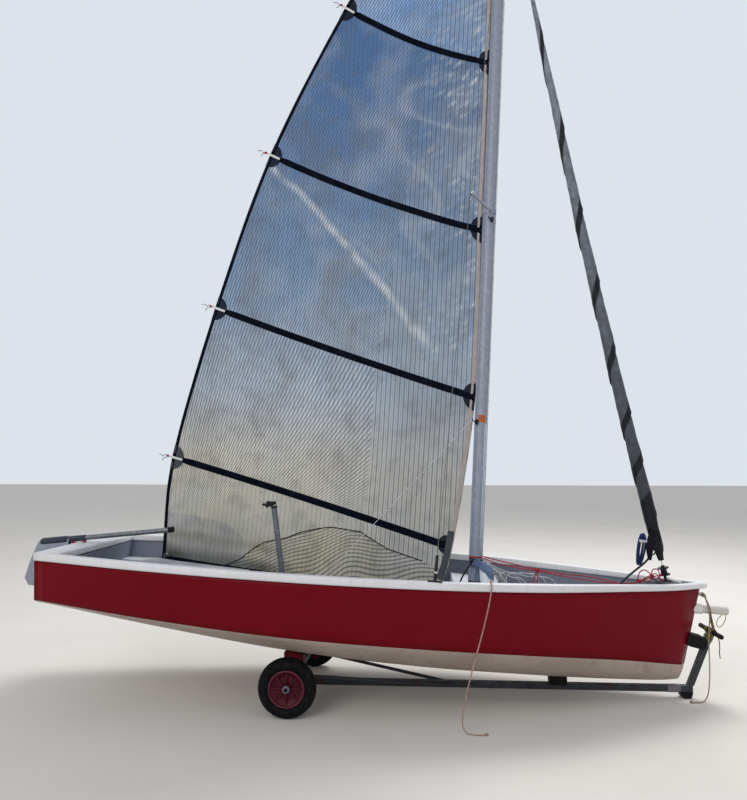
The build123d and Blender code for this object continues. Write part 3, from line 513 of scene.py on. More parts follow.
@dataclass(frozen=True)
class SailLaminate(Finish):
    """Clear polyester film with dark load-bearing threads glued between its two layers.

    The eye sees thin dark lines, upright near the mast and gathered towards the leech
    behind it, over a milky film that is dull grey with dirt near the foot; its blue-grey
    aloft is painted sky light through the film, with painted glare in the top panels and a
    painted shade low on the aft part. Creases in the film catch the light as pale silvery
    streaks, which are painted highlights.
    """

    # Film colour by height: dull beige-grey near the foot; the blue-grey above is painted sky light seen
    # through the film, and the lighter top stops are painted glare.
    aloft: tuple[tuple[float, str], ...] = (
        (0.07, "#c3bca8"), (0.13, "#d0cbba"), (0.19, "#ccc7b9"), (0.28, "#acb7c6"),
        (0.40, "#7894b2"), (0.56, "#56769e"), (0.66, "#476c9a"), (0.74, "#466998"),
        (0.77, "#7295c1"), (1.0, "#6b8fbe"),
    )
    foot: str = "#bcb192"
    patch: str = "#a8a9a6"
    stained: str = "#8d8862"
    painted_foot_shade: str = "#3e4033"
    # Painted shade over the lowest aft part of the sail.
    by_mast: str = "#78838e"
    dirt: str = "#565450"
    haze: str = "#c3c7ca"
    grime: str = "#6d665c"
    thread: str = "#343b49"
    # Painted highlight where creases and crinkles catch the light.
    crease: str = "#d2d6d9"

    def lines(self, on: Bench, measure: Source, half: float) -> Node:
        """Threads along a counted measure.

        Args:
            on: The material under work.
            measure: Number that grows by one from thread to thread.
            half: Half the share of the spacing that a thread covers.

        Returns:
            1 on a thread and 0 between two.
        """
        fold = add_node(on.tree, "Math", {0: measure, 1: 0.5}, operation="PINGPONG")
        edge = {"From Min": half - 0.07, "From Max": half + 0.07, "To Min": 1.0, "To Max": 0.0}
        return add_node(on.tree, "MapRange", {"Value": fold} | edge, interpolation_type="SMOOTHSTEP")

    def dress(self, on: Bench) -> None:
        """Reads the sail's own measures from its points and draws threads, dirt, painted sky light,
        painted shade and painted crease highlights.

        Args:
            on: The material's bench.
        """
        tree = on.tree
        fore, aft, foot, behind, below, height, crease, corner, stain = (
            add_node(
                tree, "Attribute", attribute_name=measure.value, attribute_type="GEOMETRY"
            ).outputs["Fac"]
            for measure in SailMeasure
        )
        # Colour by height: painted sky light aloft and painted glare in the top panels.
        ramp = add_node(tree, "ValToRGB", {0: height})
        stops = ramp.color_ramp.elements
        for at, colour in self.aloft[1:-1]:
            stops.new(at).color = linear(colour)
        for end in (0, -1):
            stops[end].position = self.aloft[end][0]
            stops[end].color = linear(self.aloft[end][1])
        film = ramp
        for measure, colour, span in (
            (below, self.foot, (-0.002, 0.002, 0.6)),
            (behind, self.by_mast, (0.3, -0.2, 0.4)),
            (corner, self.patch, (0.0, 0.012, 0.6)),
            (stain, self.stained, (0.0, 1.0, 0.6)),
            # Painted shade where the stain measure is below zero: low on the aft part.
            (stain, self.painted_foot_shade, (0.0, -1.0, 0.85)),
        ):
            film = on.over(measure, film, colour, span)
        for size, detail, stretch, colour, span in (
            (95, 8.0, EVEN, self.dirt, (0.472, 0.68, 0.28)),
            (330, 5.0, EVEN, self.haze, (0.426, 0.66, 0.22)),
            (430, 6.0, (1.0, 1.0, 0.6), self.grime, (0.5, 0.74, 0.42)),
        ):
            film = on.over(on.cloud(size, detail, stretch), film, colour, span)
        # Painted highlights along creases and crinkles, and glints in the top panel.
        film = on.over(crease, film, self.crease)
        aft_side, foot_side = (
            add_node(tree, "Math", {0: seam, 1: 0.0}, operation="GREATER_THAN")
            for seam in (behind, below)
        )
        fore_lines = self.lines(on, fore, 0.115)
        aft_lines = self.lines(on, aft, 0.16)
        upper = add_node(tree, "Mix", {0: aft_side, 2: fore_lines, 3: aft_lines})
        foot_lines = self.lines(on, foot, 0.18)
        drawn = add_node(tree, "Mix", {0: foot_side, 2: upper, 3: foot_lines})
        between = add_node(tree, "Math", {0: fore, 1: 0.5}, operation="ADD")
        film = on.over(self.lines(on, between, 0.07), film, self.thread, (0.0, 1.0, 0.36))
        threaded = on.over(drawn, film, self.thread, (0.0, 1.0, 0.66))
        on.feed("Base Color", threaded)
        on.grained(120, 0.3, 6.0)
        on.grained(26, 0.2, 1.2)
        through = add_node(tree, "BsdfTranslucent", {"Color": threaded})
        both = add_node(tree, "MixShader", {0: 0.3, 1: on.shader, 2: through})
        tree.links.new(both.outputs[0], on.output.inputs["Surface"])


@dataclass(frozen=True)
class RolledLaminate(Finish):
    """The jib's grey laminate, rolled up, with the dark protective strip along its edge.

    The eye sees a pale roll that dark bands climb round like a barber's pole.
    """

    strip: str = "#10131a"
    stain: str = "#6a6d73"
    low: str = "#26292e"

    def dress(self, on: Bench) -> None:
        """Dark strip by the roll's own turn measure, stains and crumples.

        Args:
            on: The material's bench.
        """
        turn, aloft = (
            add_node(
                on.tree, "Attribute", attribute_name=name, attribute_type="GEOMETRY"
            ).outputs["Fac"]
            for name in ("strip", "aloft")
        )
        stained = on.mottle(self.colour, self.stain, 45, (0.34, 0.66, 1.0), 8.0)
        # Drawn darker towards the roll's foot.
        faded = on.over(aloft, stained, self.low, (0.8, 0.1, 0.9))
        on.feed("Base Color", on.over(turn, faded, self.strip, (-0.012, 0.012, 1.0)))
        on.grained(46, 0.9, 9.0, (1.0, 1.0, 0.3))
        on.grained(14, 0.5, 2.0)


@dataclass(frozen=True)
class StudioFloor(Finish):
    """Plain matt studio floor that keeps the object's shadow."""

    def dress(self, on: Bench) -> None:
        """Very faint tone so that the floor isn't dead flat."""
        on.mottle(self.colour, "#d6d2ca", 900, (0.4, 0.7, 0.5), 3.0)


HULL_RED = Gelcoat("hull red gelcoat", "#6e0314", 0.28, shine=0.09, worn="#801722", streaks=0.16)
# White bottom gelcoat drawn warm grey-brown: painted shade with a painted warm reflection from the ground.
HULL_WHITE_IN_PAINTED_SHADE = Gelcoat("hull white gelcoat", "#ab9d93", 0.3, shine=0.3, worn="#7d6c60", streaks=0.5)
RIM_WHITE = Gelcoat("gunwale white gelcoat", "#dedee1", 0.3, shine=0.35, worn="#c6c0ba", streaks=0.3)
# Pale inner gelcoat drawn blue-grey: painted shade on the inner walls and aft tank.
INNER_GELCOAT_IN_PAINTED_SHADE = Gelcoat("grey inner gelcoat", "#6f7584", 0.45, shine=0.3, worn="#8b8f96", streaks=0.4)
DECK_GREY = DeckMoulding("pale non-slip deck", "#c6cad0", 0.6, shine=0.3)
BOW_GREY = DeckMoulding("dark bow deck", "#3a3f48", 0.6, shine=0.3, dirt="#5b5f66")
# Anodised alloy drawn darker than the boom's: a painted shade.
MAST_ALLOY_IN_PAINTED_SHADE = DrawnMetal("anodised mast", "#8d93a1", 0.5, metallic=0.3, shine=0.3)
BOOM_ALLOY = DrawnMetal("anodised boom", "#a0a4a9", 0.4, metallic=0.8, run=Run.ALONG_BOAT)
GREY_TUBE = DrawnMetal("grey anodised tube", "#686c74", 0.42, metallic=0.5)
STEEL = DrawnMetal("stainless steel", "#b2b2ae", 0.28, metallic=1.0, spotted=0.1)
WEATHERED_WIRE = DrawnMetal("weathered stay wire", "#5f5e5c", 0.6, metallic=0.3)
# Galvanised steel drawn dark grey: a painted shade.
TROLLEY_STEEL_IN_PAINTED_SHADE = Galvanised("dark galvanised steel", "#3d4046", 0.55, metallic=0.45)
BLACK_NYLON = Moulded("black nylon", "#0e0f12", shine=0.25)
WHITE_NYLON = Moulded("white acetal", "#dcdbd7", 0.33, shine=0.35, chalk="#c0bbae", chalked=0.4)
POLE_WHITE = Moulded("white painted pole", "#cac7c1", 0.3, shine=0.35, chalk="#aaa497", chalked=0.35)
RED_NYLON = Moulded("red nylon", "#9c1420", 0.42, shine=0.3)
ORANGE_VINYL = Moulded("orange vinyl patch", "#b0582a", 0.45, shine=0.3)
BLACK_RUBBER = Moulded("black rubber", "#0d0d0f", 0.7, shine=0.2, chalk="#3d3a35", chalked=0.3)
RIM_RED = Moulded("red polypropylene rim", "#480819", 0.42, shine=0.2, chalk="#5c2029", chalked=0.25)
RIM_WORN = Moulded("worn rim edge", "#5d2f3c", 0.6, shine=0.2)
RIM_GREY = Moulded("grey polypropylene", "#6f6a73", shine=0.3)
HEAD_SLEEVE = Moulded("blue grey rubber sleeve", "#2c3140", shine=0.3)
PAD_RED = Cloth("red pad cover", "#600d19", 0.7, shine=0.15, faded="#7c2a33", fade=0.4)
BLACK_TAPE = Cloth("black sail tape", "#070b16", 0.85, shine=0.05, faded="#192031", fade=0.4)
PATCH_NAVY = Cloth("dark batten patch", "#1d2330", 0.8, shine=0.15, faded="#343c4b", fade=0.5)
PATCH_GREY = Cloth("dark grey patch", "#46494c", 0.75, shine=0.2, faded="#5a5d60", fade=0.5)
LUFF_TAPE = Cloth("luff tape", "#a79c98", 0.7, shine=0.2, faded="#c4bbb4", fade=0.5)
BAG_WHITE = Cloth("white bag cloth", "#e2e5ea", 0.6, shine=0.2, faded="#c4cad2", fade=0.5)
BAG_BLUE = Cloth("blue bag flap", "#4c5f7d", 0.6, shine=0.2, faded="#76869f", fade=0.5)
BLACK_STRAP = Cloth("black webbing", "#101114", 0.8, shine=0.15, faded="#24262b", fade=0.4)
RED_ROPE = Braid("red braid", "#9a1322", 0.8, shine=0.2, tracer="#b8424a")
PALE_ROPE = Braid("pale blue braid", "#c6d0dd", 0.85, shine=0.2, tracer="#b3bfcf")
GREY_ROPE = Braid("grey braid", "#85878b", 0.85, shine=0.2, tracer="#5d6066")
TAN_ROPE = Braid("faded pink braid", "#a99384", 0.85, shine=0.2, tracer="#8e685f")
OLIVE_ROPE = Braid("olive yellow braid", "#827438", 0.85, shine=0.2, tracer="#555031")
BLACK_ROPE = Braid("black braid", "#0f1013", 0.8, shine=0.15, tracer="#26282e")
BLUE_ROPE = Braid("blue braid", "#1c3066", 0.8, shine=0.2, tracer="#10162a")
WHITE_ROPE = Braid("white braid", "#d6d7d8", 0.85, shine=0.2, tracer="#8f9398")
SAIL_FILM = SailLaminate("threaded sail laminate", "#8296b0", 0.42, shine=0.3)
JIB_FILM = RolledLaminate("rolled jib laminate", "#878e9a", shine=0.25)
FLOOR_PALE = StudioFloor("pale studio floor", "#dedad3", 0.9, shine=0.2)


def dress_nodes(frame: dict, finishes: dict[Finish, Sequence[str]]) -> None:
    """Gives CAD nodes their finishes.

    Args:
        finishes: The node names that take each finish.
    """
    for finish, names in finishes.items():
        for name in names:
            for slot in frame["nodes"][name].material_slots:
                slot.material = finish.material()
            log.info("node %s takes %s", name, finish.name)


def placed(name: str, data: bpy.types.ID) -> Piece:
    """New object of the scene with its data.

    Args:
        name: Name of the object.
        data: What it shows.

    Returns:
        The new object.
    """
    made = bpy.data.objects.new(name, data)
    bpy.context.scene.collection.objects.link(made)
    return made


def mesh_of(name: str, shape: Shape) -> bpy.types.Mesh:
    """New mesh with a shape's points and faces.

    Args:
        name: Name of the mesh.
        shape: Points in metres and faces.

    Returns:
        The mesh.
    """
    mesh = bpy.data.meshes.new(name)
    mesh.from_pydata([tuple(p) for p in shape[0]], [], shape[1])
    return mesh


def add_piece(
    name: str,
    shape: Shape | list[Shape],
    finish: Finish,
    body: str = "boat",
    measures: dict[str, list[float]] | None = None,
    smooth: bool = True,
    stands_for: str | None = None,
) -> Piece:
    """Makes a mesh piece that rides on a body.

    Args:
        name: Name of the piece.
        shape: Points in metres and faces, or a list of such shapes.
        finish: Its material.
        body: Body that carries it.
        measures: Numbers for each point that its material reads.
        smooth: Whether its faces are shaded smooth.
        stands_for: Solid that it replaces, if any.

    Returns:
        The new object.
    """
    mesh = mesh_of(name, joined(shape) if isinstance(shape, list) else shape)
    for key, values in (measures or {}).items():
        mesh.attributes.new(key, "FLOAT", "POINT").data.foreach_set("value", values)
    mesh.materials.append(finish.material())
    mesh.polygons.foreach_set("use_smooth", [smooth] * len(mesh.polygons))
    mesh.validate()
    mesh.update()
    piece = placed(name, mesh)
    settle(piece, body, stands_for)
    log.info("piece %s: %d faces on %s", name, len(mesh.polygons), body)
    return piece


def settle(piece: Piece, body: str, stands_for: str | None) -> None:
    """Tells the frame a piece's body and the solid that it replaces.

    Args:
        piece: The piece.
        body: Body that carries it.
        stands_for: Solid that it replaces, if any.
    """
    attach(piece, body)
    if stands_for:
        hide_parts(stands_for)


def joined(shapes: list[Shape]) -> Shape:
    """Several shapes as one.

    Args:
        shapes: The shapes.

    Returns:
        One shape with all their points and faces.
    """
    points: Points = []
    faces: Faces = []
    for some_points, some_faces in shapes:
        start = len(points)
        points += some_points
        faces += [tuple(start + k for k in face) for face in some_faces]
    return points, faces


def inside_out(shape: Shape) -> Shape:
    """The shape with its faces turned over."""
    return shape[0], [tuple(reversed(face)) for face in shape[1]]


def mirrored(shape: Shape) -> Shape:
    """The shape's twin on the other side of the boat, its faces turned to look outwards."""
    points, faces = inside_out(shape)
    return [Vector((p.x, -p.y, p.z)) for p in points], faces


def grid_faces(rows: int, columns: int, wrapped: bool = False) -> Faces:
    """Quads of a grid of points, row after row.

    Args:
        rows: Number of rows of points.
        columns: Number of points in a row.
        wrapped: Whether each row closes on itself.

    Returns:
        The faces.
    """
    faces = []
    for here in range(0, (rows - 1) * columns, columns):
        for c in range(columns if wrapped else columns - 1):
            beside = here + (c + 1) % columns
            faces.append((here + c, beside, beside + columns, here + columns + c))
    return faces


def tube_faces(rings: int, sides: int) -> Faces:
    """Faces of rings of points that follow each other, closed at both ends."""
    ends = [tuple(reversed(range(sides))), tuple(range((rings - 1) * sides, rings * sides))]
    return grid_faces(rings, sides, wrapped=True) + ends


def shell(outer: Points, inner: Points, rows: int, columns: int) -> Shape:
    """Closed plate between an outer and an inner grid of points.

    Args:
        outer: Points of the outer face, row after row.
        inner: Points of the inner face.
        rows: Number of rows.
        columns: Points in a row.

    Returns:
        The shape.
    """
    count = rows * columns
    faces = grid_faces(rows, columns)
    faces += [tuple(count + k for k in reversed(face)) for face in grid_faces(rows, columns)]
    rim = list(range(columns))
    rim += [r * columns + columns - 1 for r in range(1, rows)]
    rim += [(rows - 1) * columns + c for c in range(columns - 2, -1, -1)]
    rim += [r * columns for r in range(rows - 2, 0, -1)]
    for here, there in zip(rim, rim[1:] + rim[:1]):
        faces.append((there, here, count + here, count + there))
    return outer + inner, faces


def square_to(axis: Vector) -> Vector:
    """A direction square to an axis."""
    return axis.cross(UP if abs(axis.dot(UP)) < 0.9 else FORWARD).normalized()


def swept(path: Points, radius: float | list[float], sides: int = 8, squash: float = 1.0) -> Shape:
    """Round bar along a path, closed at both ends.

    Args:
        path: Points in metres.
        radius: Radius in metres, or one for each point.
        sides: Number of sides.
        squash: Height of the section over its width.

    Returns:
        The shape.
    """
    radii = radius if isinstance(radius, list) else [radius] * len(path)
    points: Points = []
    across = None
    for k, place in enumerate(path):
        ahead = (path[min(k + 1, len(path) - 1)] - path[max(k - 1, 0)]).normalized()
        across = across or square_to(ahead)
        across = (across - ahead * across.dot(ahead)).normalized()
        over = ahead.cross(across)
        for turn in around(sides):
            points.append(place + (across * math.cos(turn) + over * math.sin(turn) * squash) * radii[k])
    return points, tube_faces(len(path), sides)


def around(count: int, shift: float = 0.0) -> list[float]:
    """Angles of points evenly spaced round a circle."""
    return [math.tau * (k + shift) / count for k in range(count)]


def coil(middle: Vector, radius: float, steps: int, turns: int = 1, rise: float = 0.0) -> Points:
    """Path that winds round a crosswise axis, moving to port by its rise in each turn.

    Args:
        middle: Start of the axis, in metres.
        radius: Radius in metres.
        steps: Points in one turn.
        turns: Number of turns.
        rise: Metres to port in each turn.

    Returns:
        The points.
    """
    path = []
    for k in range(turns * steps + 1):
        turn = math.tau * k / steps
        swing = WORLD_X * math.cos(turn) + WORLD_Z * math.sin(turn)
        path.append(middle + PORT * (rise * k / steps) + swing * radius)
    return path


def turned(outline: Rows, centre: Vector, axis: Vector, segments: int = 24) -> Shape:
    """Body turned on a lathe.

    Args:
        outline: Distance along the axis and radius of each ring, in metres.
        centre: Start of the axis.
        axis: Direction of the axis.
        segments: Points round each ring.

    Returns:
        The shape, closed at both ends.
    """
    axis = axis.normalized()
    across = square_to(axis)
    over = axis.cross(across)
    points = [
        centre + axis * along + (across * math.cos(turn) + over * math.sin(turn)) * radius
        for along, radius in outline
        for turn in around(segments)
    ]
    return points, tube_faces(len(outline), segments)


def slab(
    centre: Vector, size: Place, edge: float, axes: tuple[Vector, Vector, Vector] = BOAT_AXES
) -> Shape:
    """Block with chamfered upright edges and a softened top and bottom.

    Args:
        centre: Its middle.
        size: Length along each axis, in metres.
        edge: Width of the chamfers.
        axes: Its three directions.

    Returns:
        The shape.
    """
    half_x, half_y, half_z = (s / 2 for s in size)
    cut = edge * 0.8
    rings: Points = []
    for height, inset in ((-half_z, edge), (edge - half_z, 0.0), (half_z - edge, 0.0), (half_z, edge)):
        x, y = half_x - inset, half_y - inset
        half = ((x - cut, -y), (x, cut - y), (x, y - cut), (x - cut, y))
        for a, b in half + tuple((-a, -b) for a, b in half):
            rings.append(centre + axes[0] * a + axes[1] * b + axes[2] * height)
    return rings, tube_faces(4, 8)


def smooth_between(
    stations: Rows, at: float, knots: Sequence[float] | None = None
) -> tuple[float, ...]:
    """Value on smooth curves through stations.

    Args:
        stations: Rows of numbers.
        at: Place among the stations.
        knots: Place of each station, or None where they are numbered from 0.

    Returns:
        One number for each column.
    """
    knots = knots or range(len(stations))
    last = len(stations) - 1
    k = min(bisect_right(knots, at + 1e-6) - 1, last - 1)
    first, after = max(k - 1, 0), min(k + 2, last)
    span = knots[k + 1] - knots[k]
    t = (at - knots[k]) / span
    into, out_of = span / (knots[k + 1] - knots[first]), span / (knots[after] - knots[k])
    return tuple(
        b * (2 * t**3 - 3 * t**2 + 1)
        + c * (3 * t**2 - 2 * t**3)
        + (c - a) * into * (t**3 - 2 * t**2 + t)
        + (d - b) * out_of * (t**3 - t**2)
        for a, b, c, d in zip(stations[first], stations[k], stations[k + 1], stations[after])
    )


def eased(stops: Rows, steps: int = 8, place: Callable[..., Vector] = boat) -> Points:
    """Smooth path through stops given in millimetres, with so many steps between two."""
    count = (len(stops) - 1) * steps
    return [place(*smooth_between(stops, k / steps)) for k in range(count + 1)]


def stepped(rows: Rows, at: float) -> float:
    """Value on straight lines through pairs of place and value, held beyond both ends.

    Args:
        rows: Place and value of each corner.
        at: Place to read.

    Returns:
        The value.
    """
    for (x0, y0), (x1, y1) in zip(rows, rows[1:]):
        if at <= x1:
            return y0 + (y1 - y0) * max(0.0, (at - x0) / (x1 - x0))
    return rows[-1][1]


def held(value: float, low: float = 0.0, high: float = 1.0) -> float:
    """The value, kept between two limits."""
    return max(low, min(high, value))


def add_lines(
    name: str, paths: Sequence[Points], radius: float, finish: Finish, sides: int = 8, body: str = "boat"
) -> Piece:
    """Makes one piece of rope from the paths of its lines and their radius, in metres."""
    return add_piece(name, [swept(path, radius, sides) for path in paths], finish, body)


@dataclass
class Hull:
    """Faired skins of the hull and its white gunwale.

    Each line is a row of u, v, w points in millimetres from the transom to the stem. The rim's
    rows at the bow are outer u and v, inner u and v, top w and low w. The nose's rows are the
    reach forward, the share of the width and the thickness of the stem's own columns.
    """

    knots: tuple[float, ...] = (0, 750, 1600, 2400, 3100, 3700, 4080, 4180)
    sheer: Rows = (
        (0, 605, 578), (750, 738, 594), (1600, 793, 611), (2400, 735, 626),
        (3100, 572, 640), (3700, 325, 653), (4080, 138, 662), (4226, 26, 676),
    )
    chine: Rows = (
        (0, 548, 287), (750, 664, 262), (1600, 720, 239), (2400, 660, 230),
        (3100, 498, 212), (3700, 262, 178), (4080, 96, 142), (4139, 16, 132),
    )
    keel: Rows = (
        (0, 0, 232), (750, 0, 140), (1600, 0, 52), (2400, 0, 12),
        (3100, 0, 8), (3700, 0, 14), (4080, 0, 34), (4130, 0, 76),
    )
    bow_rim: Rows = (
        (4080, 152, 4080, 92, 658, 622), (4132, 117, 4118, 66, 660, 624),
        (4180, 87, 4150, 45, 662, 626), (4218, 67, 4172, 29, 664, 628),
        (4243, 54, 4186, 17, 665, 629), (4260, 37, 4195, 9, 665, 630),
        (4269, 18, 4199, 4, 665, 630), (4272, 0, 4200, 0, 665, 630),
    )
    nose: Rows = ((0.0, 1.0, 0.0), (5.5, 0.6, 6.0), (8.0, 0.0, 6.0))
    column_step: float = 60.0
    skin_rows: int = 9
    plating: float = 8.0
    rim_out: float = 14.0
    rim_in: float = 46.0
    rim_down: float = 40.0
    rim_round: float = 13.0
    rim_rise: Rows = ((3100, 8), (4080, -4))
    cap_u: tuple[float, float] = (-16, 130)
    cap_half: float = 618.0
    cap_w: tuple[float, float] = (541.5, 585.0)
    cap_bend: float = 26.0
    pole_at: Place = (3950, 0, 490)
    pole_room: float = 32.5

    def line(self, rows: Rows, at: float) -> tuple[float, ...]:
        """The u, v and w of a line of the hull at a place along the knots."""
        return smooth_between(rows, at, self.knots)

    def places(self) -> list[float]:
        """Places of the skins' columns, closer together at the bow.

        Returns:
            The places along the knots.
        """
        bow, stem = self.knots[-2:]
        steps = int(bow / self.column_step)
        return [bow * k / steps for k in range(steps)] + [bow + (stem - bow) * k / 10 for k in range(11)]

    def build_topsides(self) -> None:
        """Red skins from the chine to inside the gunwale, closed round the stem."""
        outer: Points = []
        inner: Points = []
        places = self.places()
        columns = len(places) + len(self.nose) - 1
        for r in range(self.skin_rows):
            share = r / (self.skin_rows - 1)
            for c in range(columns):
                at = places[min(c, len(places) - 1)]
                low, high = self.line(self.chine, at), self.line(self.sheer, at)
                top = 1 - 0.8 * self.rim_down / (high[2] - low[2])
                u, v, w = (a + (b - a) * share * top for a, b in zip(low, high))
                reach, width, thick = self.nose[max(c - len(places) + 1, 0)]
                u, v = u + reach, v * width
                outer.append(boat(u, v, w))
                inner.append(boat(u - thick, max(v - self.plating, v * 0.4), w))
        port = shell(inner, outer, self.skin_rows, columns)
        for name, shape in (("port", port), ("starboard", mirrored(port))):
            skin = add_piece(f"topside_skin_{name}", shape, HULL_RED)
            self.pierce(skin)
            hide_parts(f"topside_{name}")

    def pierce(self, skin: Piece) -> None:
        """Cuts the way of the gennaker pole through a skin.

        Args:
            skin: The skin.
        """
        radius = self.pole_room * MM
        room = turned(((0.0, radius), (0.4, radius)), boat(*self.pole_at), FORWARD, 48)
        cutter = placed("pole_room", mesh_of("pole_room", room))
        change = skin.modifiers.new("pole", "BOOLEAN")
        change.operation = "DIFFERENCE"
        change.solver = "EXACT"
        change.object = cutter
        bpy.context.view_layer.update()
        graph = bpy.context.evaluated_depsgraph_get()
        cut = bpy.data.meshes.new_from_object(skin.evaluated_get(graph))
        skin.modifiers.clear()
        skin.data = cut
        bpy.data.objects.remove(cutter)

    def bottom_section(self, at: float, side: int) -> Points:
        """Half a section of the bottom, from the chine to beside the keel.

        Args:
            at: Place along the knots.
            side: 1 to port, -1 to starboard.

        Returns:
            The points.
        """
        chine_u, chine_v, chine_w = self.line(self.chine, at)
        keel_u, _, keel_w = self.line(self.keel, at)
        bend_v = 0.55 * chine_v
        bend_w = min(keel_w + 0.12 * bend_v, keel_w + 0.6 * (chine_w - keel_w))
        pull_v = (chine_v + bend_v) / 2 - 0.2 * (bend_w - chine_w)
        pull_w = (chine_w + bend_w) / 2 + 0.2 * (bend_v - chine_v)
        points = []
        for k in range(9):
            t = k / 8
            shares = ((1 - t) ** 2, 2 * t * (1 - t), t**2)
            points.append(
                tuple(
                    sum(share * value for share, value in zip(shares, row))
                    for row in ((chine_v, pull_v, bend_v), (chine_w, pull_w, bend_w))
                )
            )
        points += [(bend_v * (1 - k / 4), bend_w + (keel_w - bend_w) * k / 4) for k in range(1, 4)]
        lean = (chine_u - keel_u) / max(chine_w - keel_w, 1.0)
        return [boat(keel_u + lean * (w - keel_w), side * v, w - 0.5) for v, w in points]

    def under(self, u: float, v: float) -> Vector:
        """Point of the bottom's underside at a station and a distance off the middle.

        Args:
            u: Station in millimetres.
            v: Distance off the middle.

        Returns:
            The point.
        """
        section = self.bottom_section(u, 1)
        off = abs(v) * MM
        for here, there in zip(section, section[1:]):
            if there.y <= off <= here.y:
                found = here.lerp(there, (here.y - off) / (here.y - there.y))
                return Vector((found.x, v * MM, found.z))
        return section[-1]

    def build_bottom(self) -> None:
        """White skin below the chines."""
        outer: Points = []
        places = self.places()
        for at in places:
            keel_u, _, keel_w = self.line(self.keel, at)
            outer += self.bottom_section(at, 1) + [boat(keel_u, 0, keel_w - 0.5)]
            outer += reversed(self.bottom_section(at, -1))
        columns = len(outer) // len(places)
        inner = [p + UP * (self.plating * MM) for p in outer]
        for start in range(0, len(outer), columns):
            for edge in (start, start + columns - 1):
                inner[edge] = outer[edge] + UP * MM
        plate = shell(outer, inner, len(places), columns)
        add_piece("bottom_skin", plate, HULL_WHITE_IN_PAINTED_SHADE, stands_for="hull_bottom")

    def rim_ring(self, row: tuple[float, ...], side: int) -> Points:
        """Rounded section of the gunwale.

        Args:
            row: Outer u and v, inner u and v, top w and low w.
            side: 1 to port, -1 to starboard.

        Returns:
            Its points, from the inner lower corner round.
        """
        out_u, out_v, in_u, in_v, top, low = row
        width = math.hypot(out_u - in_u, out_v - in_v)
        r = min(self.rim_round, (top - low) / 2 - 1)
        ring = []
        corners = ((r, low + r), (width - r, low + r), (width - r, top - r), (r, top - r))
        for corner, (x, z) in enumerate(corners):
            for k in range(5):
                turn = math.pi + math.pi / 2 * (corner + k / 4)
                share = (x + r * math.cos(turn)) / width
                u, v = in_u + (out_u - in_u) * share, in_v + (out_v - in_v) * share
                ring.append(boat(u, side * v, z + r * math.sin(turn)))
        return ring

    def cap(self) -> Shape:
        """White cap along the transom's top edge, round at its corners.

        Returns:
            The shape.
        """
        low, high = self.cap_w
        r = self.rim_round
        middle, half = sum(self.cap_u) / 2, (self.cap_u[1] - self.cap_u[0]) / 2
        levels = ((r, low), (r * 0.3, low + r * 0.3), (0, low + r))
        levels += tuple((inset, low + high - w) for inset, w in reversed(levels))
        points: Points = []
        for inset, w in levels:
            bend = self.cap_bend - inset * 0.5
            for turn in around(48, 0.5):
                ways = (math.cos(turn), half), (math.sin(turn), self.cap_half)
                u, v = (math.copysign(far - bend - inset * 0.5, way) + bend * way for way, far in ways)
                points.append(boat(middle + u, v, w))
        return points, tube_faces(len(levels), 48)

    def build_gunwale(self) -> None:
        """White rim round the sheer, with its rounded tip at the bow and the cap at the stern."""
        rows = []
        for at in self.places():
            if at < self.bow_rim[0][0] - 1:
                u, v, w = self.line(self.sheer, at)
                rise = stepped(self.rim_rise, u)
                rows.append((u, v + self.rim_out, u, v - self.rim_in, w + rise, w - self.rim_down))
        rows += [smooth_between(self.bow_rim, k / 4) for k in range(4 * len(self.bow_rim) - 3)]
        rings = [self.rim_ring(row, -1) for row in rows]
        rings += [self.rim_ring(row, 1) for row in reversed(rows[:-1])]
        rim = (sum(rings, []), tube_faces(len(rings), len(rings[0])))
        add_piece("gunwale_skin", [rim, self.cap()], RIM_WHITE, stands_for="gunwale")

    def build(self) -> None:
        """Builds every skin."""
        self.build_topsides()
        self.build_bottom()
        self.build_gunwale()


class SailMeasure(Enum):
    """What each point of the sail tells its material."""

    FORE_THREADS = "fore_threads"
    AFT_THREADS = "aft_threads"
    FOOT_THREADS = "foot_threads"
    BEHIND_SEAM = "behind_seam"
    BELOW_SEAM = "below_seam"
    HEIGHT = "height"
    CREASE = "crease"
    CORNER = "corner"
    # Above zero a real stain band; below zero painted shade low on the aft part.
    STAIN_AND_FOOT_SHADE = "stain"


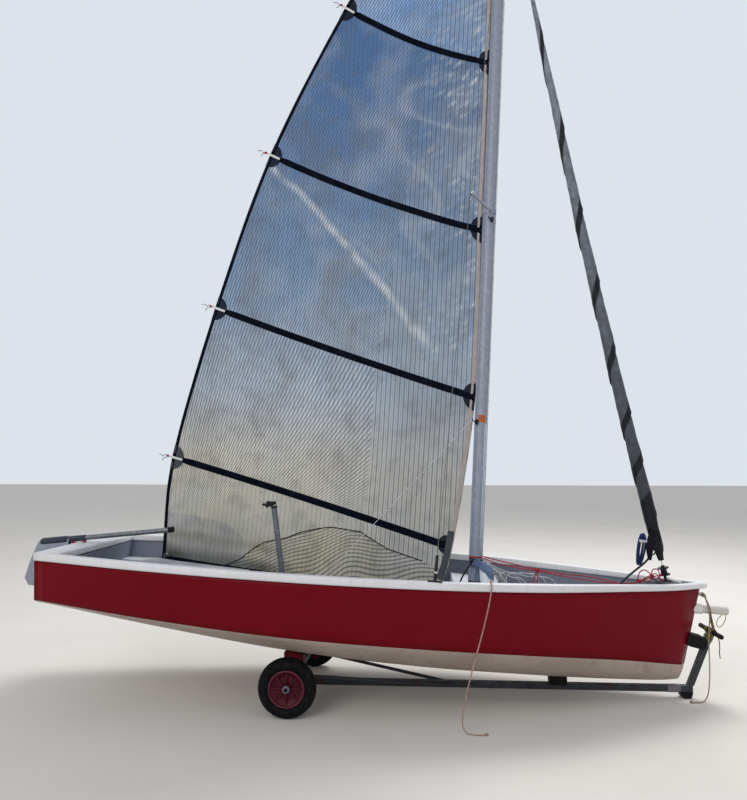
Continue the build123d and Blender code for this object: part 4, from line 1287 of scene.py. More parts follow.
@dataclass
class MainSail:
    """Fully battened mainsail with its pockets, patches and tapes.

    Each section is luff u, w and leech u, v, w and camber in millimetres, foot to head. Rows
    are numbered from 0 at the foot to 6 at the head, and shares of the chord run from 0 at the
    luff to 1 at the leech.
    """

    sections: Rows = (
        (2515, 478, 384, 565, 455, 60), (2588, 754, 389, 575, 1213, 120),
        (2679, 1789, 627, 560, 2415, 130), (2654, 2970, 977, 500, 3661, 120),
        (2629, 4204, 1499, 400, 4843, 95), (2608, 5230, 1960, 270, 5590, 50),
        (2587, 6250, 2450, 60, 6330, 8),
    )
    foot_seam: Rows = (
        (0.0, 0.60), (0.09, 0.69), (0.2, 0.72), (0.30, 0.84), (0.40, 0.79), (0.44, 0.73),
        (0.50, 0.61), (0.55, 0.46), (0.63, 0.33), (0.71, 0.09), (0.77, 0.0), (1.0, -0.2),
    )
    corner_edge: Rows = (
        (0.66, -0.3), (0.69, 0.21), (0.72, 0.40), (0.78, 0.49), (0.87, 0.50), (1.0, 0.49),
    )
    long_crease: Rows = (
        (0.18, 2.23), (0.26, 2.31), (0.34, 2.43), (0.40, 2.51), (0.50, 2.59),
        (0.61, 2.69), (0.71, 2.78), (0.82, 2.86), (0.90, 2.90), (0.97, 2.93),
    )
    mast_at: tuple[float, float] = (2679, 1789)
    leech_curve: Place = (2.4037, 0.0524, 0.06406)
    seam_aft: float = 0.78
    stain_row: float = 0.26
    ripple_depth: float = 0.010
    pucker_depth: float = 0.004
    wave_depth: float = 0.012
    crease_depth: float = 0.006
    panel_rows: int = 64
    columns: int = 150
    fore_spacing: float = 0.036
    aft_spacing: float = 0.0245
    low_aft_spacing: float = 0.025
    foot_spacing: float = 0.026
    cloth_half: float = 2.5
    pocket_height: float = 0.050
    pocket_start: float = 0.085
    pocket_steps: int = 90
    pocket_section: Rows = (
        (-1.0, 0.0028), (-0.88, 0.0052), (-0.5, 0.0082), (0.0, 0.0095), (0.5, 0.0082),
        (0.88, 0.0052), (1.0, 0.0028), (0.0, 0.0012),
    )
    knob: Rows = ((0.0, 0.004), (0.002, 0.0085), (0.011, 0.0095), (0.016, 0.007), (0.018, 0.003))
    patch_radius: float = 0.095
    luff_patch_inset: float = 0.048
    luff_patch_radius: float = 0.062
    # Lift of the top panels' height measure, which gives them the ramp's lighter stops as painted glare.
    top_panels_glare: float = 0.12
    strip_in: float = 0.090
    strip_out: float = 0.045
    flat_size: tuple[float, float] = (2.45, 6.0)

    def frame_at(self, t: float, s: float, out: float = 0.0) -> Vector:
        """Point of the sail's plain curved form.

        Args:
            t: Row.
            s: Share of the chord.
            out: Metres to port of the middle of the cloth.

        Returns:
            The point in metres.
        """
        luff_u, luff_w, leech_u, leech_v, leech_w, camber = smooth_between(self.sections, t)
        luff = Vector((luff_u, 0.0, luff_w))
        chord = Vector((leech_u, leech_v, leech_w)) - luff
        length = chord.length
        along = chord / length
        outward = (PORT - along * along.y).normalized()
        middle = length / 2
        drop = ((0.05 * length) ** 2 + camber**2 - middle**2) / (2 * camber)
        reach = math.hypot(middle, drop)
        bow = drop + math.sqrt(max(reach**2 - (s * length - middle) ** 2, 0.0))
        return boat(*(luff + along * (s * length) + outward * (bow + self.cloth_half + out / MM)))

    def surface(self, t: float, s: float, lift: float = 0.0) -> Vector:
        """Point of the cloth with its ripples and folds, lifted to port by so many metres."""
        droop = (0.022 + 0.035 * math.sin(math.pi * s)) * max(0.0, 1 - t / 0.5) ** 2
        return self.frame_at(t, s, self.relief(t, s) + lift) - WORLD_Z * droop

    def starboard(self, t: float, s: float) -> Vector:
        """Direction square to the sail's plain form, to starboard."""
        return (self.frame_at(t, s) - self.frame_at(t, s, 0.01)).normalized()

    def rise(self, t: float, s: float) -> float:
        """Metres up the sail from one row to the next."""
        return (self.frame_at(t + 0.05, s) - self.frame_at(t - 0.05, s)).length / 0.1

    def flat(self, t: float, s: float) -> tuple[float, float]:
        """Metres aft of the mast and up the luff that a point has in the flat cloth.

        Args:
            t: Row.
            s: Share of the chord.

        Returns:
            Both distances.
        """
        luff_u, luff_w, leech_u, leech_v, leech_w, _ = smooth_between(self.sections, t)
        u = luff_u + (leech_u - luff_u) * s
        w = luff_w + (leech_w - luff_w) * s
        mast_u = self.mast_at[0] - MAST_RAKE * (w - self.mast_at[1])
        return math.hypot(mast_u - u, leech_v * s) * MM, w * MM

    def chord(self, t: float) -> float:
        """Length of the sail from luff to leech at a row, in metres."""
        luff_u, luff_w, leech_u, leech_v, leech_w, _ = smooth_between(self.sections, t)
        return Vector((leech_u - luff_u, leech_v, leech_w - luff_w)).length * MM

    def crease_at(self, t: float, s: float, aft: float, up: float) -> float:
        """How strongly the painted highlight of a crease or crinkle of the film shows at a place;
        the cloth is also raised by the same measure.

        Args:
            t: Row.
            s: Share of the chord.
            aft: Metres aft of the mast.
            up: Metres above the boat's base line.

        Returns:
            From 0 to 1.
        """
        wander = 0.022 * noise.noise(Vector((aft * 4, up * 4, 31.0)))
        away = abs(t - stepped(self.long_crease, s) + wander) * 1.15
        ends = min(held((s - 0.15) * 12), max(0.0, (0.99 - s) * 30))
        broken = 0.62 + 0.9 * noise.noise(Vector((aft * 9, up * 9, 2.0)))
        wide = 0.026 + 0.05 * held(1.0 - s)
        fold = max(0.0, 1.0 - away / wide) ** 0.8 * broken * 0.9 * ends
        # Painted glints where the crinkled film near the mast catches the light.
        near_mast = max(0.0, 1.0 - aft / 0.62) * held((up - 1.7) / 0.5, 0.2)
        crinkle = noise.noise(Vector((aft * 15, up * 34 + aft * 13, 7.0)))
        cluster = 0.55 + 0.9 * noise.noise(Vector((aft * 2.5, up * 3.5, 17.0)))
        silver = max(0.0, crinkle - 0.12) * 2.6 * near_mast * cluster
        ridge = 1 - abs(noise.noise(Vector((aft * 1.1 + up * 0.8, up * 2.6 - aft * 1.4, 11.0)))) * 9
        fine = max(0.0, ridge) * 0.3 * max(0.0, noise.noise(Vector((aft, up, 21.0))) + 0.35)
        # Painted glints on the folds of the top panel.
        top = max(0.0, math.sin(up * 34 + 2.5 * noise.noise(Vector((aft * 2, up, 5.0))))) ** 6
        panel = top * 0.4 * held((t - 4.1) * 3) * max(0.0, 1 - aft / 0.8)
        return held(max(fold, silver, fine, panel), 0.0, 0.85)

    def relief(self, t: float, s: float) -> float:
        """How far the cloth stands out of its plain form, in metres.

        Args:
            t: Row.
            s: Share of the chord.

        Returns:
            The distance.
        """
        aft, up = self.flat(t, s)
        ripple = noise.noise(Vector((aft * 2.2, up * 1.6, 0.0))) * self.ripple_depth
        pucker = noise.noise(Vector((aft * 12, up * 22, 3.0))) * self.pucker_depth
        slack = max(0.0, stepped(self.foot_seam, s) - t)
        wave = math.sin(aft * 13 + up * 5) * self.wave_depth * min(1.0, slack * 2.5)
        edge = min(1.0, s * 12, (1 - s) * 12)
        crease = self.crease_at(t, s, aft, up)
        folds = (ripple + pucker * max(0.0, 1 - aft / 0.5)) * edge + wave * edge
        return folds + crease * self.crease_depth

    def thread_counts(self, t: float, aft: float, up: float) -> tuple[float, float, float]:
        """Counted place among the threads of the forward, after and foot panels.

        Args:
            t: Row.
            aft: Metres aft of the mast.
            up: Metres above the boat's base line.

        Returns:
            One number for each panel.
        """
        low, lean, bend = self.leech_curve
        leech_aft = low + lean * up - bend * up**2
        gathered = (leech_aft - aft) / (1 - math.exp(-(max(up, 0.35) - 0.3)))
        if t >= 2:
            after = gathered / self.aft_spacing
        else:
            after = gathered / self.low_aft_spacing / (1 + 0.204 * gathered)
        bunch = noise.noise(Vector((aft * 3, up * 2.2, 9.0)))
        foot = (up + 0.14 * aft + 0.02 * bunch + 0.012 * math.sin(aft * 13)) / self.foot_spacing
        fan = 1 + 0.35 * max(0.0, aft - 0.9)
        return aft / self.fore_spacing, after + 200, foot * fan + 50

    def measures_at(self, t: float, s: float) -> tuple[float, ...]:
        """The numbers of SailMeasure at a point of the cloth, in its order.

        Args:
            t: Row.
            s: Share of the chord.

        Returns:
            The numbers.
        """
        aft, up = self.flat(t, s)
        # Positive in the stain band round stain_row; negative below it, low on the aft part, for painted
        # shade.
        band = max(0.0, 1 - abs(t - self.stain_row) / 0.08) - held(1.6 - t / 0.10)
        return (
            *self.thread_counts(t, aft, up),
            aft - self.seam_aft + 0.127 * max(up - 2.0, 0.0),
            stepped(self.foot_seam, s) - t,
            # Height, lifted in the top panels for painted glare.
            up / 6.5 + (self.top_panels_glare if t >= 4 else 0.0),
            self.crease_at(t, s, aft, up),
            stepped(self.corner_edge, s) - t,
            band * held((s - 0.45) * 6),
        )

    def build_cloth(self) -> Piece:
        """The sheet itself, with the measures that its material reads.

        Returns:
            The new piece.
        """
        rows = self.panel_rows * (len(self.sections) - 1) + 1
        places = [
            (r / self.panel_rows, c / (self.columns - 1)) for r in range(rows) for c in range(self.columns)
        ]
        points = [self.surface(t, s) for t, s in places]
        told = zip(*(self.measures_at(t, s) for t, s in places))
        measures = {measure.value: list(values) for measure, values in zip(SailMeasure, told)}
        sheet = (points, grid_faces(rows, self.columns))
        return add_piece(
            "mainsail_cloth", sheet, SAIL_FILM, measures=measures, stands_for="mainsail"
        )

    def strip(self, path: Rows, half: float, lift: float) -> list[Shape]:
        """Flat tape on both faces of the cloth.

        Args:
            path: Rows and shares of the chord that it runs through.
            half: Half its width in metres.
            lift: Metres that it stands off the middle of the cloth.

        Returns:
            One shape for each face.
        """
        section = ((-1.0, -0.5), (-0.9, 0.0), (0.0, 0.4), (0.9, 0.0), (1.0, -0.5))
        shapes = []
        for side in (1, -1):
            points: Points = []
            for k, (t, s) in enumerate(path):
                place = self.surface(t, s, side * lift)
                before = self.surface(*path[max(k - 1, 0)])
                after = self.surface(*path[min(k + 1, len(path) - 1)])
                out = -self.starboard(t, s)
                wide = (after - before).normalized().cross(out).normalized() * half
                points += [place + wide * across + out * side * lift * off for across, off in section]
            shapes.append((points, grid_faces(len(path), len(section))))
        return shapes

    def build_tapes(self) -> list[Piece]:
        """Leech, foot and luff tapes, the luff's grey sleeve and the dark seams.

        Returns:
            The new pieces.
        """
        rows = [k / 40 for k in range(241)]
        low = [0.30 + 0.84 * k / 40 for k in range(41)]
        top = len(self.sections) - 2
        above = top + (self.pocket_height / 2 + 0.004) / self.rise(top, 0.5)
        leech = [(t, 1.0 - 0.013 / self.chord(t)) for t in rows]
        foot = [(0.006, k / 120) for k in range(121)]
        luff = [(t, 0.017 / self.chord(t)) for t in rows]
        sleeve = [(t, 0.026 / self.chord(t)) for t in low]
        seam = [(stepped(self.foot_seam, k / 120), k / 120) for k in range(10, 92)]
        hem = [(above, 0.1 + 0.8 * k / 80) for k in range(81)]
        tapes = (
            ("leech_tape", leech, 0.014, 0.0022, BLACK_TAPE, "batten"),
            ("foot_tape", foot, 0.013, 0.0026, BLACK_TAPE, "batten"),
            ("luff_tape", luff, 0.0175, 0.0022, LUFF_TAPE, "sailcloth"),
            ("luff_sleeve", sleeve, 0.026, 0.0045, PATCH_GREY, "sailcloth"),
            ("foot_seam", seam, 0.0035, 0.0024, BLACK_TAPE, "batten"),
            ("pocket_hem", hem, 0.003, 0.0028, LUFF_TAPE, "sailcloth"),
        )
        return [
            add_piece(name, self.strip(path, half, lift), finish)
            for name, path, half, lift, finish, slot in tapes
        ]

    def pocket(self, t: float) -> Shape:
        """Padded pocket along a row of the starboard face.

        Args:
            t: Row.

        Returns:
            The shape.
        """
        length = self.chord(t)
        first = 0.056 / length if t == 1 else 0.006
        last = 1 - self.pocket_start / length
        points: Points = []
        for k in range(self.pocket_steps + 1):
            s = first + (last - first) * k / self.pocket_steps
            base, out = self.surface(t, s), self.starboard(t, s)
            ahead = (self.surface(t, s + 0.004) - self.surface(t, s - 0.004)).normalized()
            narrow = min(1.0, 0.75 + 0.25 * (self.pocket_steps - k) / 3)
            wide = ahead.cross(out).normalized() * self.pocket_height / 2 * narrow
            points += [base + wide * across + out * lift for across, lift in self.pocket_section]
        return points, tube_faces(self.pocket_steps + 1, len(self.pocket_section))

    def build_battens(self) -> list[Piece]:
        """Padded black pockets on the starboard face, with their patches and end fittings.

        Returns:
            The new pieces.
        """
        pockets, ends, knobs, tails = [], [], [], []
        navy, grey = [], []
        for t in range(1, len(self.sections) - 1):
            pockets.append(self.pocket(t))
            base, out = self.surface(t, 1.0), self.starboard(t, 1.0)
            ahead = (base - self.surface(t, 1.0 - 0.1 / self.chord(t))).normalized()
            middle = base + ahead * (self.strip_out - self.strip_in) / 2 + out * 0.0075
            size = (self.strip_in + self.strip_out, 0.018, 0.005)
            ends.append(slab(middle, size, 0.0015, (ahead, ahead.cross(out), out)))
            knob = base + ahead * (self.strip_out - 0.02) + out * 0.011
            knobs.append(turned(self.knob, knob, ahead, 14))
            for reach, drop in ((0.085, 0.012), (0.055, 0.045)):
                tail = []
                for k in range(10):
                    fall = drop * (k / 9) ** 1.5 + 0.006 * math.sin(k * 1.2 + t + drop * 40)
                    tail.append(knob + ahead * reach * k / 9 - WORLD_Z * fall)
                tails.append(tail)
            (grey if t == 1 else navy).append(self.half_round(t, 1.0))
            inset, radius = (self.luff_patch_inset, self.luff_patch_radius) if t == 1 else (0.0, None)
            navy.append(self.half_round(t, 0.0, inset, radius))
        return [
            add_piece("batten_pockets", pockets, BLACK_TAPE, stands_for="battens"),
            add_piece("batten_ends", ends, WHITE_NYLON),
            add_piece("batten_knobs", knobs, RED_NYLON),
            add_lines("batten_lashings", tails, 0.0022, BLACK_ROPE, 6),
            add_piece("batten_patches_1", navy, PATCH_NAVY),
            add_piece("batten_patches_2", grey, PATCH_GREY),
        ]

    def half_round(
        self, t: float, edge: float, inset: float = 0.0, radius: float | None = None
    ) -> Shape:
        """Half-round patch on both faces, centred on the luff or the leech.

        Args:
            t: Row of its middle.
            edge: Share of the chord of the edge that it sits on, 0 or 1.
            inset: Metres that it stands inside that edge.
            radius: Metres, or None for the usual patch.

        Returns:
            The shape.
        """
        radius = radius or self.patch_radius
        rise, inward = self.rise(t, edge), (-1 if edge else 1) / self.chord(t)
        faces = [(0, 1 + k, 2 + k) for k in range(16)]
        faces += [tuple(1 + i for i in face) for face in grid_faces(4, 17)]
        shapes = []
        for side in (0.0034, -0.0034):
            points = [self.surface(t, edge + inward * inset, side)]
            for share, lift in ((0.35, side), (0.7, side), (0.97, side), (1.0, side * 8 / 17)):
                for k in range(17):
                    turn = math.pi * (k / 16 - 0.5)
                    x = math.cos(turn) * radius * share + inset
                    z = math.sin(turn) * radius * share
                    points.append(self.surface(t + z / rise, edge + inward * x, lift))
            shapes.append((points, faces))
        return joined(shapes)

    def build_corners(self) -> list[Piece]:
        """Headboard, and the clew's webbing and ring.

        Returns:
            The new pieces.
        """
        top = len(self.sections) - 1
        corners = ((top, 0.05), (top, 0.95), (top - 0.13, 0.82), (top - 0.13, 0.05))
        head = []
        for side in (1, -1):
            points = [self.frame_at(t, s, side * lift) for lift in (0.002, 0.0055) for t, s in corners]
            head.append((points, tube_faces(2, 4)))
        straps = self.strip([(0.02 + 0.006 * k, 0.985 - 0.006 * k) for k in range(5)], 0.009, 0.005)
        ring = coil(self.surface(0.02, 0.985), 0.017, 20)
        return [
            add_piece("headboard", head, WHITE_NYLON, smooth=False),
            add_piece("clew_webbing", straps, PATCH_GREY),
            add_piece("clew_ring", swept(ring, 0.003), STEEL),
        ]

    def build(self) -> None:
        """Builds the whole sail."""
        cloth = self.build_cloth()
        trim = self.build_tapes() + self.build_battens() + self.build_corners()


@dataclass
class FurledJib:
    """Jib rolled on its stay, with its clew and sheets tied beside it.

    Stations are the height above the tack along the stay, the radius and the sag aft.
    """

    tack: tuple[float, float] = (4010, 652)
    stay_top: tuple[float, float] = (2694.2, 5500)
    stations: Rows = (
        (138, 19, 0), (230, 36, -3), (430, 46, -8), (1300, 44, -24), (2500, 38, -28),
        (3600, 28, -14), (4300, 14, -2),
    )
    band_heights: Rows = (
        (140, 8.6), (340, 7.7), (540, 6.9), (790, 6), (1110, 5), (1540, 4), (2020, 3),
        (2540, 2), (3140, 1), (3850, 0), (4650, -1),
    )
    band_widths: Rows = (
        (400, 1.1), (470, 0.8), (540, 0.62), (600, 0.42), (680, 0.26), (1100, 0.18), (4300, 0.2),
    )
    rings: int = 330
    wraps: int = 4
    wrap_points: int = 26
    clew: Rows = ((3905, -22, 985), (3888, -46, 930), (3878, -56, 860), (3884, -46, 785))
    lead: Rows = (
        (3880, -40, 800), (3840, -56, 760), (3700, -140, 660), (3592, -226, 560),
        (3536, -276, 470), (3508, -300, 352),
    )
    lead_gap: float = 14.0

    def axis(self) -> tuple[Vector, Vector, Vector]:
        """Foot of the stay, its direction and the direction forward of it.

        Returns:
            The foot and both directions.
        """
        foot, top = (boat(u, 0, w) for u, w in (self.tack, self.stay_top))
        run = (top - foot).normalized()
        return foot, run, PORT.cross(run).normalized()

    def middle(self, height: float) -> tuple[Vector, float]:
        """Middle and radius of the roll, in metres, at a height in millimetres.

        Args:
            height: Height in millimetres.

        Returns:
            The middle and the radius.
        """
        foot, run, ahead = self.axis()
        radius, sag = (stepped([(row[0], row[k]) for row in self.stations], height) for k in (1, 2))
        return foot + run * height * MM + ahead * sag * MM, radius * MM

    def build_roll(self) -> Piece:
        """One sheet wound in a spiral, whose outer edge climbs round the roll.

        Returns:
            The new piece.
        """
        ahead = self.axis()[2]
        low, high = self.stations[0][0], self.stations[-1][0]
        columns = self.wraps * self.wrap_points + 1
        points: Points = []
        strip, aloft = [], []
        for k in range(self.rings + 1):
            height = low + (high - low) * k / self.rings
            centre, radius = self.middle(height)
            band = -math.tau * stepped(self.band_heights, height)
            wide = stepped(self.band_widths, height)
            for c in range(columns):
                share = c / (columns - 1)
                turn = band + math.pi * min(wide, 1.0) - math.tau * self.wraps * (1 - share)
                rough = noise.noise(Vector((math.cos(turn) * 2, math.sin(turn) * 2, height / 90)))
                crease = noise.noise(Vector((turn * 1.3, height / 45, 4.0)))
                reach = radius * (0.30 + 0.72 * share) * (1 + 0.07 * rough + 0.05 * crease)
                points.append(centre + (-PORT * math.cos(turn) + ahead * math.sin(turn)) * reach)
                strip.append(wide - (1 - share) * self.wraps)
                aloft.append(height / high)
        wound = (points, grid_faces(self.rings + 1, columns))
        measures = {"strip": strip, "aloft": aloft}
        return add_piece(
            "jib_roll", wound, JIB_FILM, measures=measures, stands_for="furled_jib"
        )

    def coil_loop(self, k: int) -> Points:
        """One of the hanging loops of the coiled sheets.

        Args:
            k: Number of the loop.

        Returns:
            The path.
        """
        wide, tall = 15 + k % 3 * 4, 96 + 7 * math.sin(k * 2.3)
        path = []
        for step in range(25):
            turn = math.tau * step / 24
            u = 3838 - 5 * (k % 4) + wide * math.cos(turn) + 9.6 * math.sin(turn)
            v = -22 - 6 * (k % 3) - 5 * math.sin(turn * 2)
            path.append((u, v, 848 + tall * math.sin(turn) + 4 * math.sin(k)))
        return eased(path, 2)

    def dark_loop(self, k: int) -> Points:
        """One of the dark lines that are tied about the roll's foot.

        Args:
            k: Number of the loop.

        Returns:
            The path.
        """
        path = []
        for step in range(9):
            turn = step * 0.9 + k
            u = 3902 + 7 * k + (26 - 2 * k) * math.cos(turn)
            v = -44 - 5 * (k % 3) + 9 * math.sin(step * 1.3 + k)
            path.append((u, v, 880 + 16 * k + (62 - 5 * k) * math.sin(turn + k)))
        return eased(path, 5)

    def build_sheets(self) -> list[Piece]:
        """The clew with its ring, the coil of sheets tied beside it and the lead to the deck.

        Returns:
            The new pieces.
        """
        ties = [
            [(3843 + 25 * math.cos(turn), -30 + 20 * math.sin(turn), w) for turn in around(12) + [math.tau]]
            for w in (900, 908)
        ]
        leads = [[(u, v - gap, w) for u, v, w in self.lead] for gap in (0, self.lead_gap)]
        clew = eased(self.clew)
        last = len(clew) - 1
        swell = [0.012 + 0.014 * math.sin(k * math.pi / last) for k in range(last + 1)]
        return [
            add_lines("jib_dark_lines", [self.dark_loop(k) for k in range(6)], 0.0042, BLACK_ROPE),
            add_lines("jib_sheet_coil", [self.coil_loop(k) for k in range(7)], 0.0045, BLUE_ROPE),
            add_lines("jib_coil_ties", [eased(tie, 3) for tie in ties], 0.005, WHITE_ROPE),
            add_piece("jib_clew", swept(clew, swell, 14, 0.5), BLACK_STRAP),
            add_lines("jib_sheet_lead", [eased(lead) for lead in leads], 0.005, BLACK_ROPE),
        ]

    def build(self) -> None:
        """Builds the roll and its sheets."""
        roll = self.build_roll()
        with_it = self.build_sheets()


@dataclass
class Ropes:
    """The two free ropes: one over the starboard gunwale and one from the towing eye."""

    radius: float = 4 * MM
    side_length: float = 1.41
    bow_length: float = 0.764
    side_route: Rows = (
        (0.788, -0.336, 0.696), (0.786, -0.385, 0.692), (0.781, -0.450, 0.689),
        (0.781, -0.515, 0.691), (0.783, -0.560, 0.707), (0.787, -0.580, 0.744),
        (0.789, -0.588, 0.790), (0.792, -0.598, 0.834), (0.792, -0.635, 0.848),
        (0.791, -0.673, 0.838), (0.788, -0.688, 0.788), (0.774, -0.689, 0.710),
        (0.749, -0.690, 0.610), (0.722, -0.692, 0.510), (0.692, -0.695, 0.410),
        (0.663, -0.698, 0.310), (0.640, -0.702, 0.220), (0.622, -0.707, 0.140),
        (0.612, -0.712, 0.075), (0.614, -0.722, 0.028), (0.634, -0.738, 0.0045),
        (0.668, -0.752, 0.0045), (0.706, -0.758, 0.0045), (0.742, -0.752, 0.0045),
    )
    bow_route: Rows = (
        (2.244, -0.008, 0.654), (2.252, -0.020, 0.632), (2.258, -0.036, 0.598),
        (2.259, -0.045, 0.550), (2.257, -0.047, 0.500), (2.252, -0.048, 0.450),
        (2.247, -0.050, 0.395), (2.244, -0.053, 0.330), (2.243, -0.058, 0.262),
        (2.240, -0.064, 0.196), (2.234, -0.072, 0.134), (2.224, -0.082, 0.078),
        (2.208, -0.094, 0.032), (2.178, -0.108, 0.0045), (2.136, -0.118, 0.0045),
        (2.094, -0.120, 0.0045),
    )

    def rope(self, name: str, node: str, route: Rows, finish: Finish) -> Piece:
        """One rope on its smooth line.

        Args:
            name: Name of the piece.
            node: Solid that it stands for.
            route: Its points in metres.
            finish: Its material.

        Returns:
            The new object.
        """
        curve = bpy.data.curves.new(name, "CURVE")
        curve.dimensions = "3D"
        curve.bevel_depth = self.radius
        curve.bevel_resolution = 3
        curve.use_fill_caps = True
        spline = curve.splines.new("NURBS")
        spline.points.add(len(route) - 1)
        for point, place in zip(spline.points, route):
            point.co = (*place, 1.0)
        spline.order_u = 3
        spline.use_endpoint_u = True
        curve.materials.append(finish.material())
        piece = placed(name, curve)
        settle(piece, "boat", node)
        log.info("rope %s: %d points", name, len(route))
        return piece

    def stopper(self, name: str, end: Place, finish: Finish) -> Piece:
        """Small overhand knot at a rope's free end.

        Args:
            name: Name of the piece.
            end: The rope's end, in metres.
            finish: The rope's material.

        Returns:
            The new piece.
        """
        loop = 6.5
        path = []
        for k in range(37):
            turn = math.tau * k / 24
            swing = (loop * math.cos(turn) + 3.0, loop * math.sin(turn), 3.5 * math.sin(turn * 1.5) + 3.5)
            path.append(Vector(end) + ground(*swing))
        return add_lines(name, [path], 0.0038, finish)

    def build(self) -> None:
        for name, node, route, length in (
            ("side_rope", "side_rope_line", self.side_route, self.side_length),
            ("bow_line", "bow_line_rope", self.bow_route, self.bow_length),
        ):
            rope = self.rope(node, name, route, TAN_ROPE)
            knot = self.stopper(f"{name}_knot", route[-1], TAN_ROPE)


@dataclass
class Rigging:
    """Fittings and lines of the mast, and what stands round its foot.

    Stops of lines are millimetres in the boat.
    """

    mast_at: tuple[float, float] = (2758, 438)
    mast_semi: tuple[float, float] = (38, 29)
    steps_of_turn: int = 20
    boot_foot: Place = (2465, 722, 636)
    spreader_tip: Place = (2549, 425, 3070)
    strap: Rows = ((0.0, 0.009), (0.002, 0.0125), (0.012, 0.0125), (0.014, 0.009))
    spreader_cap: Rows = ((-0.026, 0.006), (-0.022, 0.012), (0.006, 0.013), (0.014, 0.008))
    block: Rows = ((0.0, 0.004), (0.004, 0.010), (0.018, 0.010), (0.022, 0.004))
    control_runs: tuple[Rows, ...] = (
        ((2800, -20, 716), (2900, -40, 700), (3040, -52, 680), (3154, -60, 662)),
        ((2796, -36, 706), (2900, -56, 680), (3040, -66, 664), (3150, -64, 656)),
        ((3154, -60, 660), (3127, -70, 568), (3127, -70, 352)),
        ((3154, -60, 660), (3165, -48, 568), (3165, -48, 352)),
        ((3156, -60, 660), (3330, -52, 650), (3506, -46, 643), (3730, -40, 616),
         (3825, -38, 640), (3907, -34, 676), (3985, -26, 690)),
        ((3158, -66, 656), (3330, -66, 636), (3560, -62, 618), (3780, -58, 628),
         (3860, -50, 668), (3925, -44, 700), (3955, -40, 668), (3990, -30, 652)),
        ((3800, -66, 640), (3822, -60, 706), (3862, -54, 716), (3902, -52, 676),
         (3880, -56, 648), (3836, -60, 652)),
        ((3890, -50, 664), (3906, -46, 722), (3938, -44, 726), (3954, -46, 684),
         (3930, -48, 660)),
    )
    control_knots: Rows = ((3154, -60, 660, 12), (3825, -40, 642, 10), (3907, -34, 676, 10))
    eyes: Rows = ((3127, -70), (3165, -48))
    thin_leads: tuple[Rows, ...] = (
        ((2790, -33, 712), (2840, -60, 660), (2900, -74, 620), (2958, -70, 560), (2990, -66, 524)),
        ((2792, -30, 700), (2870, -40, 650), (2980, -30, 600), (3060, 0, 560), (3120, 10, 354)),
        ((2800, 10, 690), (2900, 40, 640), (3010, 70, 600), (3110, 80, 540), (3180, 60, 354)),
        ((2826, -92, 650), (2868, -66, 610), (2920, -40, 580), (2950, 10, 540)),
        ((2800, 0, 690), (2950, 60, 622), (3120, 110, 590), (3300, 140, 572), (3420, 160, 354)),
        ((2798, 4, 676), (2900, 80, 612), (3040, 150, 600), (3190, 180, 576), (3260, 190, 354)),
        ((2802, -8, 700), (2930, 20, 606), (3080, 90, 612), (3230, 120, 580), (3330, 100, 354)),
    )

    def mast_middle(self, w: float, ahead: float = 0.0, v: float = 0.0) -> Vector:
        """Point of the mast's axis at a height, moved forward and to port by so much."""
        return boat(self.mast_at[0] - MAST_RAKE * (w - self.mast_at[1]) + ahead, v, w)

    def beside_mast(self, w: float, turn: float, off: float, way: int = 1) -> Vector:
        """Point at an angle round the mast, so far off it, counted to port or to starboard."""
        ahead = (self.mast_semi[0] + off) * math.cos(turn)
        return self.mast_middle(w, ahead, way * (self.mast_semi[1] + off) * math.sin(turn))

    def band(self, low: float, high: float, proud: float) -> Shape:
        """Oval sleeve round the mast.

        Args:
            low: Height of its lower edge, in millimetres.
            high: Height of its upper edge.
            proud: How far it stands off the mast.

        Returns:
            The shape.
        """
        levels = ((low, 0.6), (low + 2, proud), (high - 2, proud), (high, 0.6))
        points = [self.beside_mast(w, turn, grow) for w, grow in levels for turn in around(28)]
        return points, tube_faces(len(levels), 28)

    def wound(self, low: float, pitch: float, turns: int, off: float) -> Points:
        """Path of a line wound round the mast, from a height upwards by a pitch each turn.

        Args:
            low: Height of its start.
            pitch: Rise of a turn.
            turns: Number of turns.
            off: Distance off the mast.

        Returns:
            The path.
        """
        path = []
        for k in range(turns * self.steps_of_turn + 1):
            turn = math.tau * k / self.steps_of_turn
            w = low + pitch * k / self.steps_of_turn + 3 * math.sin(turn * 1.3)
            path.append(self.beside_mast(w, turn, off, -1))
        return path

    def build_mast_fittings(self) -> None:
        """Hooks, collars, the plain orange patch, and the halyard and its thin cord."""
        hooks = []
        for u, w in ((2696, 1618), (2717, 3038)):
            horn = ((u, -36, w - 6), (u - 10, -42, w - 2), (u - 22, -43, w + 6), (u - 28, -41, w + 20))
            hooks.append(slab(boat(u, -33, w), (0.012, 0.020, 0.036), 0.003, (PORT, FORWARD, UP)))
            hooks.append(swept(eased(horn, 5), 0.004))
        collars = [self.band(650, 672, 5), self.band(522, 548, 6)]
        winds = [swept(self.wound(674, 8, 3, 6), 0.0042), swept(self.wound(652, 11, 2, 8), 0.004)]
        add_piece("mast_hooks", hooks, BLACK_NYLON)
        add_piece("mast_collars", collars, BLACK_NYLON)
        add_piece("mast_lashing", winds, BLACK_ROPE)
        patch = [
            self.beside_mast(1617 + 50 * row / 6, math.radians(-128 + 76 * k / 8), 0.7)
            for row in range(7)
            for k in range(9)
        ]
        add_piece("mast_patch", (patch, grid_faces(7, 9)), ORANGE_VINYL)
        halyard = [self.mast_middle(w, 41, -6) for w in (720, 1600, 3040, 4500, 5480)]
        tails = [
            [self.mast_middle(w, ahead, off) for w in (690, 1000, 1300, 1608)]
            for ahead, off in ((23, -27), (32.5, -20.5))
        ]
        cord = eased(((2668, -43, 1634), (2200, -34, 1060), (1700, -18, 452)))
        add_lines("halyard", [halyard], 0.0025, WHITE_ROPE)
        add_lines("halyard_tails", tails, 0.0042, PALE_ROPE)
        add_lines("hook_cord", [cord], 0.0026, WHITE_ROPE, 6)
        block = turned(self.block, boat(1699, -16, 438), UP, 16)
        add_piece("hook_cord_block", block, BLACK_NYLON)

